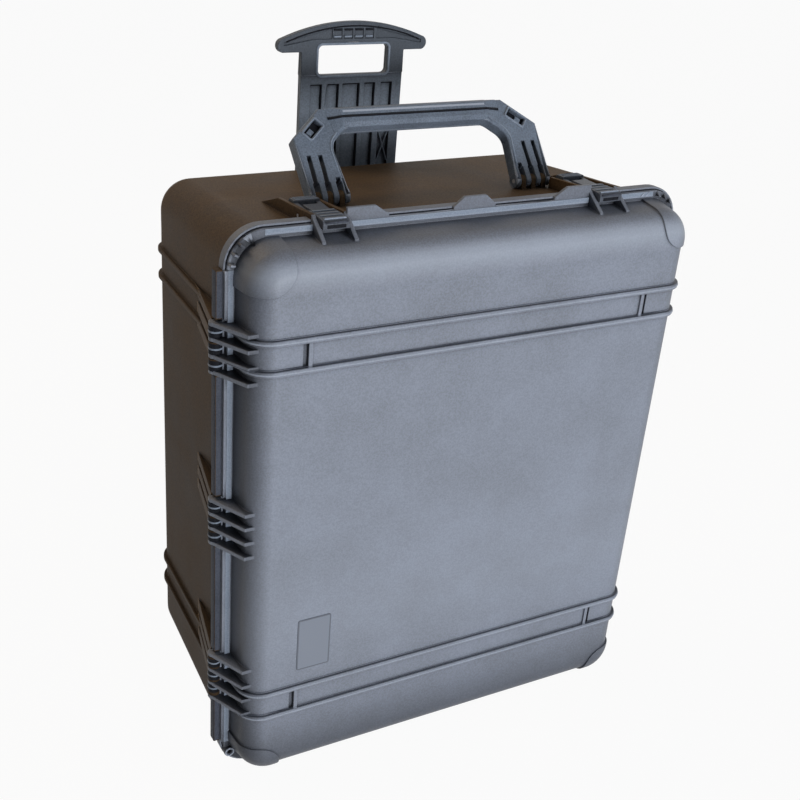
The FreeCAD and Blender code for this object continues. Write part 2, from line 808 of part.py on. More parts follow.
def lid_shell():
    """Lid half of the case with its flange, ridges, corner pads, bars, latch ribs, tabs and hinge ribs."""
    body = lid_tub(0, lid_face_y, lid_rim_y)
    rings = ridges(lid_tub(ridge_proud, front_y, lid_rim_y), (front_y - overrun, lid_rim_y))
    padded = lid_tub(pad_proud, lid_face_y - pad_proud, lid_rim_y)
    flange_y = (lid_flange_y, lid_rim_y)
    flange = rounded_plate(flange_half_width - lid_flange_inset, flange_half_height - lid_flange_inset,
                           flange_corner_radius - lid_flange_inset, flange_y)
    flange = flange.makeFillet(flange_edge_radius, edges_at_y(flange, lid_flange_y))
    pieces = [body, flange] + rings
    for low, high in strip_spans():
        pieces.append(block((-lid_strip_reach, -lid_seam_half_width), flange_y, (low, high)))
    for side_x in (-1, 1):
        for side_z in (-1, 1):
            x_ends = sorted((side_x * pad_start_x, side_x * (flange_half_width + overrun)))
            z_reaches = (pad_start_z, flange_half_height + overrun)
            z_ends = sorted(middle_z + side_z * reach for reach in z_reaches)
            corner = block(x_ends, (front_y - overrun, lid_rim_y), z_ends)
            inner = [edge for edge in corner.Edges if edge.BoundBox.YLength > seam_depth / 2
                     and abs(edge.BoundBox.Center.x - side_x * pad_start_x) < match_gap
                     and abs(edge.BoundBox.Center.z - middle_z - side_z * pad_start_z) < match_gap]
            pieces.append(padded.common(corner.makeFillet(pad_round, inner)))
        bar_x = sorted((side_x * bar_offset, side_x * (bar_offset - bar_width)))
        for side_z in (-1, 1):
            bar_z = sorted(middle_z + side_z * offset for offset in ridge_offsets)
            pieces.append(block(bar_x, (front_y + ridge_round, lid_face_y + wall / 2), bar_z))
    for group in hinge_groups():
        for height in group:
            z_range = (height - hinge_rib_thickness / 2, height + hinge_rib_thickness / 2)
            foot_x = -lid_face_half_width + lid_edge_radius / 2
            end_y = front_y + lid_rib_end_depth
            inset = knuckle_radius * rib_tangent_share
            rib = [(hinge_x - inset, hinge_y - inset), (-lid_rib_end_reach, end_y), (foot_x, end_y),
                   (foot_x, lid_rim_y), (hinge_x, lid_rim_y)]
            pieces.append(prism_z(rib, z_range))
            pieces.append(rod(knuckle_radius, *[vec(hinge_x, hinge_y, z) for z in z_range]))
    for name, place, offset in latch_seats():
        pieces += place(latch_lid_ribs(offset)).Solids
    pieces += [on_top(tab) for tab in flange_tabs()]
    pieces += corner_marks()
    shell = fused(pieces)
    seal_y = (lid_rim_y - groove_depth_seal, lid_rim_y + overrun)
    cutters = [lid_tub(-wall, lid_face_y + wall, lid_rim_y + overrun),
               seal_ring(seal_width / 2 + groove_clearance, seal_y)]
    for side_x in (-1, 1):
        groove_x = sorted((side_x * bar_offset, side_x * (bar_offset + groove_width)))
        for side_z in (-1, 1):
            inset = ridge_thickness / 2
            high, low = ridge_offsets
            groove_z = sorted((middle_z + side_z * (high - inset), middle_z + side_z * (low + inset)))
            cutters.append(block(groove_x, (front_y, lid_face_y + groove_depth), groove_z))
    for group in hinge_groups():
        cutters.append(hinge_pin(group, hinge_pin_radius + hinge_fit))
        for low, high in hinge_slots(group):
            cutters.append(rod(knuckle_radius + hinge_swing_clearance,
                               vec(hinge_x, hinge_y, low - hinge_end_clearance),
                               vec(hinge_x, hinge_y, high + hinge_end_clearance)))
    cutters.append(boss_hole())
    return shell.cut(Part.makeCompound(cutters))


def corner_marks():
    """Small ribs in the flange's top corners and a round boss at one low corner."""
    marks = []
    y_range = (lid_flange_y - corner_rib_proud, lid_rim_y)
    half = corner_rib_thickness / 2
    end = flange_corner_radius - lid_flange_inset
    for side, angles in ((-1, left_corner_rib_angles), (1, right_corner_rib_angles)):
        centre_x = side * (flange_half_width - flange_corner_radius)
        centre_z = top_z - flange_corner_radius
        for angle in angles:
            rib = block((end - corner_rib_length, end), y_range, (-half, half))
            rib.rotate(vec(0, 0, 0), vec(0, 1, 0), -angle if side > 0 else angle - half_turn)
            rib.translate(vec(centre_x, 0, centre_z))
            marks.append(rib)
    marks.append(rod(boss_radius, vec(boss_x(), lid_flange_y - boss_proud, boss_height),
                     vec(boss_x(), lid_rim_y, boss_height)))
    return marks


def boss_x():
    """Distance across the case of the round boss."""
    return boss_inset_x - flange_half_width


def boss_hole():
    """Blind hole in the round boss."""
    return rod(boss_hole_radius, vec(boss_x(), lid_flange_y - boss_proud - overrun, boss_height),
               vec(boss_x(), lid_flange_y, boss_height))


def valve_axis(low, high, radius):
    """Round bar on the valve's axis, in flange coordinates."""
    at_y = front_y + valve_depth
    return rod(radius, vec(valve_offset, at_y, low), vec(valve_offset, at_y, high))


def valve_seat_height():
    """Height of the flat that the valve seats on."""
    share = (front_y + valve_depth - seam_y) / (base_back_y - seam_y)
    half = base_seam_half_width + share * (base_back_half_width - base_seam_half_width)
    return half - flange_half_width - valve_seal_height


def valve_seat():
    """Round flat sunk into the drafted wall."""
    return valve_axis(valve_seat_height(), 0, valve_head_radius + soft_clearance)


def valve_bore(radius):
    """Hole through the wall for the valve's stem."""
    return valve_axis(valve_seat_height() - wall - overrun, valve_seat_height() + overrun, radius)


def pressure_valve():
    """Vent plug with a slotted head and a threaded stem."""
    seat = valve_seat_height() + valve_seal_height
    head = valve_axis(seat, seat + valve_head_height, valve_head_radius)
    stem = valve_axis(seat - valve_thread_reach, seat, valve_thread_radius)
    slot_y = front_y + valve_depth
    slot = block((valve_offset - valve_head_radius, valve_offset + valve_head_radius),
                 (slot_y - valve_slot_width / 2, slot_y + valve_slot_width / 2),
                 (seat + valve_head_height - valve_slot_depth, seat + valve_head_height + overrun))
    return head.fuse(stem).cut(slot)


def valve_seal():
    """Flat rubber ring below the vent plug's head."""
    seat = valve_seat_height()
    ring = valve_axis(seat, seat + valve_seal_height, valve_head_radius - valve_seal_height)
    return ring.cut(valve_axis(seat - overrun, seat + overrun, valve_thread_radius + part_gap))


def label_plate():
    """Blank plate on the lid face."""
    half_width = (label_right - label_left) / 2
    half_height = (label_high - label_low) / 2
    plate = rounded_plate(half_width, half_height, label_round, (lid_face_y - label_thickness, lid_face_y),
                          (label_high + label_low) / 2)
    plate.translate(vec((label_left + label_right) / 2, 0, 0))
    return plate


def arc(points):
    """Round stretch through three points."""
    return Part.Arc(*points).toShape()


def grip_outline(y):
    """Closed wire round the T grip, the blade and its foot."""
    tip = grip_half_width
    lower = grip_underside
    end_mid = (grip_underside + grip_end_top) / 2
    points = [vec(-blade_half_width, y, blade_low), vec(blade_half_width, y, blade_low),
              vec(blade_half_width, y, lower), vec(tip - grip_end_round, y, lower)]
    runs = [Part.LineSegment(one, two).toShape() for one, two in zip(points, points[1:])]
    right_end = [points[3], vec(tip, y, end_mid), vec(tip - grip_end_round, y, grip_end_top)]
    left_end = [vec(grip_end_round - tip, y, grip_end_top), vec(-tip, y, end_mid),
                vec(grip_end_round - tip, y, lower)]
    runs.append(arc(right_end))
    runs.append(arc([right_end[2], vec(0, y, grip_crown), left_end[0]]))
    runs.append(arc(left_end))
    runs.append(Part.LineSegment(left_end[2], vec(-blade_half_width, y, lower)).toShape())
    runs.append(Part.LineSegment(vec(-blade_half_width, y, lower), points[0]).toShape())
    return Part.Wire(runs)


def window_cutter():
    """Finger window below the T grip, with an arched top."""
    y = grip_front_y - overrun
    corners = [vec(-window_half_width, y, window_high), vec(-window_half_width, y, window_low),
               vec(window_half_width, y, window_low), vec(window_half_width, y, window_high)]
    runs = [Part.LineSegment(one, two).toShape() for one, two in zip(corners, corners[1:])]
    runs.append(arc([corners[3], vec(0, y, window_crown), corners[0]]))
    solid = Part.Face(Part.Wire(runs)).extrude(vec(0, grip_back_y - y + overrun, 0))
    corners = [edge for edge in solid.Edges if abs(edge.tangentAt(edge.FirstParameter).y) > flat_share]
    return solid.makeFillet(window_round, corners)


def trolley_half(y_range, blade_y_range):
    """Half of the trolley: the T grip's thickness at the top and the blade's below."""
    run = vec(0, y_range[1] - y_range[0], 0)
    solid = Part.Face(grip_outline(y_range[0])).extrude(run)
    reach = blade_half_width + overrun
    slab_z = (blade_low - overrun, window_low)
    for low, high in ((y_range[0] - overrun, blade_y_range[0]), (blade_y_range[1], y_range[1] + overrun)):
        solid = solid.cut(block((-reach, reach), (low, high), slab_z))
    return solid.cut(window_cutter())


def trolley_front():
    """Front half with the panel pockets, the braces and the recess along the grip."""
    half = trolley_half((grip_front_y, split_y), (blade_front_y, split_y))
    pocket_y = (grip_front_y - overrun, blade_front_y + blade_pocket_depth)
    pocket_z = (blade_pocket_low, blade_pocket_top)
    cutters = [block(column, pocket_y, pocket_z) for column in blade_pocket_columns]
    cutters += grip_recess()
    cutters += [screw_hole(x, split_y, z, screw_engagement) for x, z in trolley_screw_places()]
    half = half.cut(Part.makeCompound(cutters))
    brace_y = (blade_front_y, blade_front_y + blade_pocket_depth)
    braces = []
    for left, right in (blade_pocket_columns[0], blade_pocket_columns[-1]):
        for start, end in ((left, right), (right, left)):
            run = math.hypot(end - start, brace_high - brace_low)
            lift = brace_width * run / abs(end - start) / 2
            braces.append(prism_y([(start, brace_low), (start, brace_low + lift), (end, brace_high),
                                   (end, brace_high - lift)], brace_y))
    return fused([half] + braces)


def grip_recess():
    """Shallow notched band that follows the arch of the grip."""
    y_range = (grip_front_y - overrun, grip_front_y + grip_recess_depth)
    low = window_crown + grip_recess_inset / 2
    high = grip_crown - grip_recess_inset
    span = 2 * notch_half_span
    step = span / notch_count
    cells = []
    for number in range(notch_count):
        start = -notch_half_span + number * step
        cells.append(block((start, start + step - notch_width), y_range, (low, high)))
    for side in (-1, 1):
        near = side * (notch_half_span + notch_width / 2)
        far = side * (grip_half_width - grip_recess_inset)
        outline = [(near, low), (near, high), (far, grip_end_top - grip_recess_inset / 2),
                   (far, grip_underside + grip_recess_inset),
                   (side * (window_half_width + grip_recess_inset), low)]
        cells.append(prism_y(outline, y_range))
    return cells


def trolley_screw_places():
    """Places (x, z) of the screws that join the trolley halves."""
    return [(side * trolley_screw_reach, z) for side in (-1, 1) for z in trolley_screw_rows]


def trolley_back():
    """Back half of the trolley."""
    half = trolley_half((split_y, grip_back_y), (split_y, blade_back_y))
    cutters = []
    for x, z in trolley_screw_places():
        seat = vec(x, trolley_seat_y, z)
        cutters.append(rod(screw_shank_radius + screw_hole_fit, vec(x, split_y - overrun, z), seat))
        cutters.append(rod(screw_head_radius + screw_hole_fit, seat, vec(x, blade_back_y + overrun, z)))
    return half.cut(Part.makeCompound(cutters))


def trolley_screws():
    """Screws that join the trolley halves, sunk below the blade's back."""
    engagement = trolley_seat_thickness + screw_engagement
    return Part.makeCompound([screw(x, trolley_seat_y, z, engagement) for x, z in trolley_screw_places()])


def trolley_shoes():
    """Slippery guide shoes at the blade's foot, which bear on the channel's walls."""
    y_range = (base_back_y + shoe_clearance, slot_back_y - shoe_clearance)
    reach = blade_half_width + channel_slide_gap - shoe_clearance
    shoes = []
    for side in (-1, 1):
        ends = sorted((side * reach, side * (reach - shoe_width)))
        shoes.append(block(ends, y_range, (blade_low - shoe_height, blade_low)))
    return Part.makeCompound(shoes)


def channel_grooves(reach):
    """Long grooves that lighten the channel's back, in two rows with a solid band between them."""
    pitch = 2 * reach / channel_groove_count
    band_z = (channel_low + channel_high) / 2
    rows = ((channel_low + wall, band_z - channel_band_half),
            (band_z + channel_band_half, channel_high - wall))
    y_range = (slot_back_y + channel_web, case_depth)
    grooves = []
    for number in range(channel_groove_count):
        start = number * pitch - reach + channel_web / 2
        for row in rows:
            grooves.append(block((start, start + pitch - channel_web), y_range, row))
    return grooves


def trolley_channel():
    """Channel screwed to the back, with the slot that the blade slides in."""
    inner = blade_half_width + channel_slide_gap
    outer = inner + channel_side
    z_range = (channel_low, channel_high)
    pieces = [block((-outer, outer), (base_back_y, channel_back_y), z_range),
              block((-outer - channel_foot_width, outer + channel_foot_width),
                    (base_back_y, base_back_y + channel_foot_thickness), z_range)]
    channel = fused(pieces)
    step = (channel_high - channel_low) / channel_rib_count
    ribs = []
    for number in range(channel_rib_count):
        low = channel_low + step * number + channel_rib_thickness / 2
        for side in (-1, 1):
            toe = side * (outer + channel_rib_width)
            ribs.append(prism_z([(side * outer, base_back_y), (toe, base_back_y),
                                 (toe, base_back_y + channel_foot_thickness), (side * outer, slot_back_y)],
                                (low, low + channel_rib_thickness)))
    channel = fused([channel] + ribs)
    cutters = [block((-inner, inner), (base_back_y - overrun, slot_back_y),
                     (channel_low + wall, channel_high + overrun))]
    cutters += channel_grooves(inner)
    for x, z in channel_screw_places():
        seat = vec(x, base_back_y + channel_foot_thickness, z)
        cutters.append(rod(screw_shank_radius + screw_hole_fit, vec(x, base_back_y - overrun, z), seat))
        cutters.append(rod(screw_head_radius + screw_hole_fit, seat, vec(x, case_depth, z)))
    return channel.cut(Part.makeCompound(cutters))


def channel_screws():
    """Screws that hold the channel on the base."""
    seat = base_back_y + channel_foot_thickness
    engagement = channel_foot_thickness + screw_engagement
    return Part.makeCompound([screw(x, seat, z, engagement) for x, z in channel_screw_places()])


def tyre(place):
    """Rubber tyre with round shoulders."""
    ring = across(place, wheel_half_width, wheel_radius)
    shoulders = [edge for edge in ring.Edges if edge.BoundBox.XLength < match_gap]
    ring = ring.makeFillet(tyre_round, shoulders)
    return ring.cut(across(place, wheel_half_width + overrun, wheel_radius - tyre_depth))


def hub(place):
    """Wheel hub: a rim, a web with round holes and a boss for the bearings."""
    rim_radius = wheel_radius - tyre_depth - part_gap
    rim = across(place, wheel_half_width - hub_rim / 2, rim_radius)
    rim = rim.cut(across(place, wheel_half_width, rim_radius - hub_rim))
    boss = across(place, wheel_half_width - hub_rim / 2, hub_boss_radius)
    web = across(place, hub_web_half, rim_radius - hub_rim / 2)
    wheel = fused([rim, boss, web])
    cutters = [across(place, wheel_half_width, axle_radius + hub_rim / 2)]
    for side in (-1, 1):
        mouth = wheel_half_width - hub_rim / 2
        ends = sorted((place + side * (mouth - bearing_width), place + side * (mouth + overrun)))
        cutters.append(rod(bearing_radius + part_gap, vec(ends[0], wheel_y, wheel_radius),
                           vec(ends[1], wheel_y, wheel_radius)))
    ring_radius = (hub_boss_radius + rim_radius - hub_rim) / 2
    for number in range(spoke_hole_count):
        angle = 2 * math.pi * number / spoke_hole_count
        at = (wheel_y + ring_radius * math.cos(angle), wheel_radius + ring_radius * math.sin(angle))
        ends = [vec(place + side * wheel_half_width, *at) for side in (-1, 1)]
        cutters.append(rod(spoke_hole_radius, *ends))
    return wheel.cut(Part.makeCompound(cutters))


def bearings(place):
    """Two ball bearings of one wheel, as closed rings."""
    rings = []
    for side in (-1, 1):
        mouth = wheel_half_width - hub_rim / 2
        ends = sorted((place + side * (mouth - bearing_width), place + side * mouth))
        ring = rod(bearing_radius, vec(ends[0], wheel_y, wheel_radius), vec(ends[1], wheel_y, wheel_radius))
        rings.append(ring.cut(across(place, wheel_half_width, axle_radius + part_gap)))
    return Part.makeCompound(rings)


def wheel_axles():
    """Plain steel axles of both wheels."""
    return Part.makeCompound([axle(place, axle_radius, 0) for name, place in wheel_places()])


def lid_seal():
    """Rubber ring in the lid's groove."""
    y_range = (lid_rim_y - groove_depth_seal, base_rim_y - soft_clearance)
    ring = seal_ring(seal_width / 2, y_range)
    return ring.makeFillet(seal_round, edges_at_y(ring, y_range[1]))


def build_nodes():
    """Every node's name and shape."""
    nodes = {
        "base_shell": base_shell(),
        "lid_shell": lid_shell(),
        "lid_seal": lid_seal(),
        "label_plate": label_plate(),
        "hinge_pins": Part.makeCompound([hinge_pin(group, hinge_pin_radius) for group in hinge_groups()]),
        "trolley_front": trolley_front(),
        "trolley_back": trolley_back(),
        "trolley_screws": trolley_screws(),
        "trolley_shoes": trolley_shoes(),
        "trolley_channel": trolley_channel(),
        "channel_screws": channel_screws(),
        "wheel_axles": wheel_axles(),
        "pressure_valve": on_side(pressure_valve()),
        "valve_seal": on_side(valve_seal()),
    }
    for name, (place, height, lean) in zip(("top_handle", "side_handle"), handle_seats()):
        nodes[name] = place(carry_handle(height, lean))
        nodes[name + "_pins"] = place(Part.makeCompound(handle_pins(handle_pin_radius, 0, height)))
    lever_pins = []
    for name, place, offset in latch_seats():
        nodes["latch_lever_" + name] = place(latch_lever(offset))
        nodes["latch_hook_" + name] = place(latch_hook(offset))
        nodes["latch_hook_pin_" + name] = place(hook_pin(offset, latch_pin_radius, part_gap))
        lever_pins.append(place(lever_pin(offset, latch_pin_radius)))
    nodes["latch_lever_pins"] = Part.makeCompound(lever_pins)
    for name, place in wheel_places():
        nodes["tyre_" + name] = tyre(place)
        nodes["hub_" + name] = hub(place)
        nodes["bearings_" + name] = bearings(place)
    return nodes


def main():
    """Write one STEP file per node."""
    os.makedirs("parts", exist_ok=True)
    for name, shape in build_nodes().items():
        if len(shape.Solids) == 1:
            shape = shape.Solids[0]
        bounds = shape.BoundBox
        print(name, len(shape.Solids), "solids", "valid" if shape.isValid() else "INVALID",
              round(shape.Volume), [round(value, 1) for value in (bounds.XMin, bounds.XMax, bounds.YMin,
                                                                  bounds.YMax, bounds.ZMin, bounds.ZMax)])
        shape.exportStep(os.path.join("parts", name + ".step"))


main()
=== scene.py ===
import logging
import math
from collections.abc import Mapping, Sequence
from dataclasses import dataclass
from enum import Enum
from typing import Any

import bmesh
import bpy
from mathutils import Matrix, Vector
from mathutils.bvhtree import BVHTree


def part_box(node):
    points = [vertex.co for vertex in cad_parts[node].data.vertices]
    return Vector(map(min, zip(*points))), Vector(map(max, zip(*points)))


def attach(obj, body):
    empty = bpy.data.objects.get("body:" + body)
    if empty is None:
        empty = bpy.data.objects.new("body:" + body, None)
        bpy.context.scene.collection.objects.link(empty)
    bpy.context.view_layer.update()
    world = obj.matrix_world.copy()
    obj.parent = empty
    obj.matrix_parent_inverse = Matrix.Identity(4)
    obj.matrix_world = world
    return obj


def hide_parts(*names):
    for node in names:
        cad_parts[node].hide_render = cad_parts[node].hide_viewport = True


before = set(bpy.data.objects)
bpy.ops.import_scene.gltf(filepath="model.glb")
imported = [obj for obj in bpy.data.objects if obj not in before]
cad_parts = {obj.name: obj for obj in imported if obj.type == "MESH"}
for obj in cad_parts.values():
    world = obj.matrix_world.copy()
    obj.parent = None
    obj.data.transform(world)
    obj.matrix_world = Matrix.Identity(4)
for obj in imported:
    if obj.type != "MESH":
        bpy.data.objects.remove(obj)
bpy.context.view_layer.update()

logging.basicConfig(level=logging.INFO, format="%(message)s")
log = logging.getLogger("case")

# A millimetre in metres, and the matrix that turns millimetres into metres
MM = 0.001
METRES = Matrix.Scale(MM, 4)

# Places that several pieces share, in millimetres
TOP_Z = 849.0
SIDE_X = 355.0
MIDDLE_Z = 424.5
FLANGE_Y = -166.0
FLANGE_CORNER = 48.5

# Roundings of sharp edges; a rounded point further than the share from the plain surface is a spike
ROUND_ANGLE = math.radians(32.0)
ROUND_FACES = 2
SPIKE_SHARE = 0.6
SHELL_ROUND = 0.9 * MM

# Gaps in metres under which points of a mesh are one, and the digits kept of an outline's metres
SEAM_GAP = 0.000004
PRESSED_GAP = 0.00002
OUTLINE_DIGITS = 5

# Faces round a hinge's collar, and rays that look for near surfaces
COLLAR_SIDES = 40
CREVICE_RAYS = 6

# Sockets of the Mix node that take and give colours
MIX_FIRST, MIX_SECOND, MIX_RESULT = 6, 7, 2

Colour = tuple[float, float, float]
Point = tuple[float, float, float]
Spot = tuple[float, float]
Stops = tuple[Spot, ...]

WHITE: Colour = (1.0, 1.0, 1.0)


def from_display(red: int, green: int, blue: int) -> Colour:
    """Turn a display colour of 0 to 255 into the linear one that a shader takes.

    Args:
        red: red amount.
        green: green amount.
        blue: blue amount.

    Returns:
        The linear colour.
    """
    toe, slope, offset, gamma = 0.04045, 12.92, 0.055, 2.4
    shares = [value / 255 for value in (red, green, blue)]
    return tuple(share / slope if share <= toe else ((share + offset) / (1 + offset)) ** gamma
                 for share in shares)


# Shader graph


class Value:
    """Output socket that takes part in arithmetic and adds its own Math nodes."""

    def __init__(self, graph: "Graph", socket: bpy.types.NodeSocket) -> None:
        """Wrap a socket of a graph."""
        self.graph = graph
        self.socket = socket

    def _math(self, operation: str, first: Any, second: Any) -> "Value":
        """Add one Math node.

        Args:
            operation: the node's operation.
            first: value or number of its first socket.
            second: value or number of its second socket.

        Returns:
            The node's result.
        """
        return self.graph.add("ShaderNodeMath", {"operation": operation}, {0: first, 1: second})

    def __add__(self, other: Any) -> "Value":
        """Sum."""
        return self._math("ADD", self, other)

    def __radd__(self, other: Any) -> "Value":
        """Sum with a number on the left."""
        return self._math("ADD", other, self)

    def __sub__(self, other: Any) -> "Value":
        """Difference."""
        return self._math("SUBTRACT", self, other)

    def __rsub__(self, other: Any) -> "Value":
        """Difference from a number on the left."""
        return self._math("SUBTRACT", other, self)

    def __mul__(self, other: Any) -> "Value":
        """Product."""
        return self._math("MULTIPLY", self, other)

    def at_most(self, other: Any) -> "Value":
        """Smaller of two values."""
        return self._math("MINIMUM", self, other)

    def at_least(self, other: Any) -> "Value":
        """Larger of two values."""
        return self._math("MAXIMUM", self, other)


class Graph:
    """Node tree with one method for every kind of node."""

    def __init__(self, tree: bpy.types.NodeTree) -> None:
        """Empty a tree and take it over."""
        self.tree = tree
        tree.nodes.clear()

    def node(self, kind: str, settings: Mapping[str, Any] | None = None,
             sockets: Mapping[str | int, Any] | None = None) -> bpy.types.Node:
        """Add a node, set its settings first and then its sockets.

        Args:
            kind: Blender's name for the node's type.
            settings: properties of the node; "stops" are the stops of a ramp.
            sockets: numbers, colours or values by socket name or place.

        Returns:
            The node.
        """
        node = self.tree.nodes.new(kind)
        for name, setting in (settings or {}).items():
            if name == "stops":
                self._set_stops(node.color_ramp, setting)
            else:
                setattr(node, name, setting)
        for name, value in (sockets or {}).items():
            if isinstance(value, Value):
                self.tree.links.new(value.socket, node.inputs[name])
            else:
                node.inputs[name].default_value = value
        return node

    def add(self, kind: str, settings: Mapping[str, Any] | None = None,
            sockets: Mapping[str | int, Any] | None = None, result: str | int = 0) -> Value:
        """Add a node and wrap one of its outputs.

        Args:
            kind: Blender's name for the node's type.
            settings: properties of the node.
            sockets: numbers, colours or values by socket name or place.
            result: name or place of the output.

        Returns:
            The wrapped output.
        """
        return Value(self, self.node(kind, settings, sockets).outputs[result])

    @staticmethod
    def _set_stops(ramp: bpy.types.ColorRamp, stops: Sequence[Spot]) -> None:
        """Give a ramp its grey stops.

        Args:
            ramp: the ramp.
            stops: place and grey level of each stop.
        """
        while len(ramp.elements) < len(stops):
            ramp.elements.new(1.0)
        for element, (place, level) in zip(ramp.elements, stops):
            element.position = place
            element.color = (level, level, level, 1.0)

    def ramp(self, value: Value, stops: Sequence[Spot]) -> Value:
        """Map a value through grey stops."""
        return self.add("ShaderNodeValToRGB", {"stops": stops}, {0: value})

    def mix(self, amount: Any, first: Any, second: Any) -> Value:
        """Mix two colours.

        Args:
            amount: share of the second colour.
            first: first colour.
            second: second colour.

        Returns:
            The mixed colour.
        """
        return self.add("ShaderNodeMix", {"data_type": "RGBA", "clamp_factor": True},
                        {0: amount, MIX_FIRST: first, MIX_SECOND: second}, MIX_RESULT)

    def split(self, place: Value) -> tuple[Value, Value, Value]:
        """Three coordinates of a place."""
        node = self.node("ShaderNodeSeparateXYZ", None, {0: place})
        return tuple(Value(self, output) for output in node.outputs)

    def bump(self, strength: float, distance: float, height: Value) -> Value:
        """Normal of a surface with fine relief.

        Args:
            strength: share of the relief that shows.
            distance: height of the relief in metres.
            height: the relief.

        Returns:
            The normal.
        """
        return self.add("ShaderNodeBump", None,
                        {"Strength": strength, "Distance": distance, "Height": height})

    def finish(self, sockets: Mapping[str, Any]) -> None:
        """End a material's graph with a Principled surface."""
        surface = self.add("ShaderNodeBsdfPrincipled", None, sockets)
        self.node("ShaderNodeOutputMaterial", None, {"Surface": surface})

    def noise(self, place: Value, scale: float, detail: float = 2.0, rough: float = 0.5) -> Value:
        """Grey noise of a number of cells per metre."""
        return self.add("ShaderNodeTexNoise", None,
                        {"Vector": place, "Scale": scale, "Detail": detail, "Roughness": rough})

    def patches(self, place: Value, scale: float, stops: Stops, detail: float, rough: float = 0.5) -> Value:
        """Noise drawn out into patches by grey stops."""
        return self.ramp(self.noise(place, scale, detail, rough), stops)

    def crevice(self, reach: float, inside: bool = False) -> Value:
        """Shade from nought to one of near surfaces: corners, or with inside set, sharp edges."""
        near = self.add("ShaderNodeAmbientOcclusion",
                        {"samples": CREVICE_RAYS, "inside": inside, "only_local": True},
                        {"Distance": reach}, "AO")
        return 1.0 - near

    def cells(self, place: Value, scale: float) -> Value:
        """Distance to the nearest of scattered points, for a pebbled grain."""
        return self.add("ShaderNodeTexVoronoi", {"feature": "SMOOTH_F1"}, {"Vector": place, "Scale": scale})


def rgba(colour: Colour) -> tuple[float, float, float, float]:
    """Colour with a full alpha."""
    return (*colour, 1.0)


def material_graph(name: str) -> tuple[bpy.types.Material, Graph, Value]:
    """Start a node material.

    Args:
        name: name of the material.

    Returns:
        The material, its graph and the place on the object.
    """
    material = bpy.data.materials.new(name)
    material.use_nodes = True
    graph = Graph(material.node_tree)
    return material, graph, graph.add("ShaderNodeTexCoord", None, None, "Object")


# Finishes


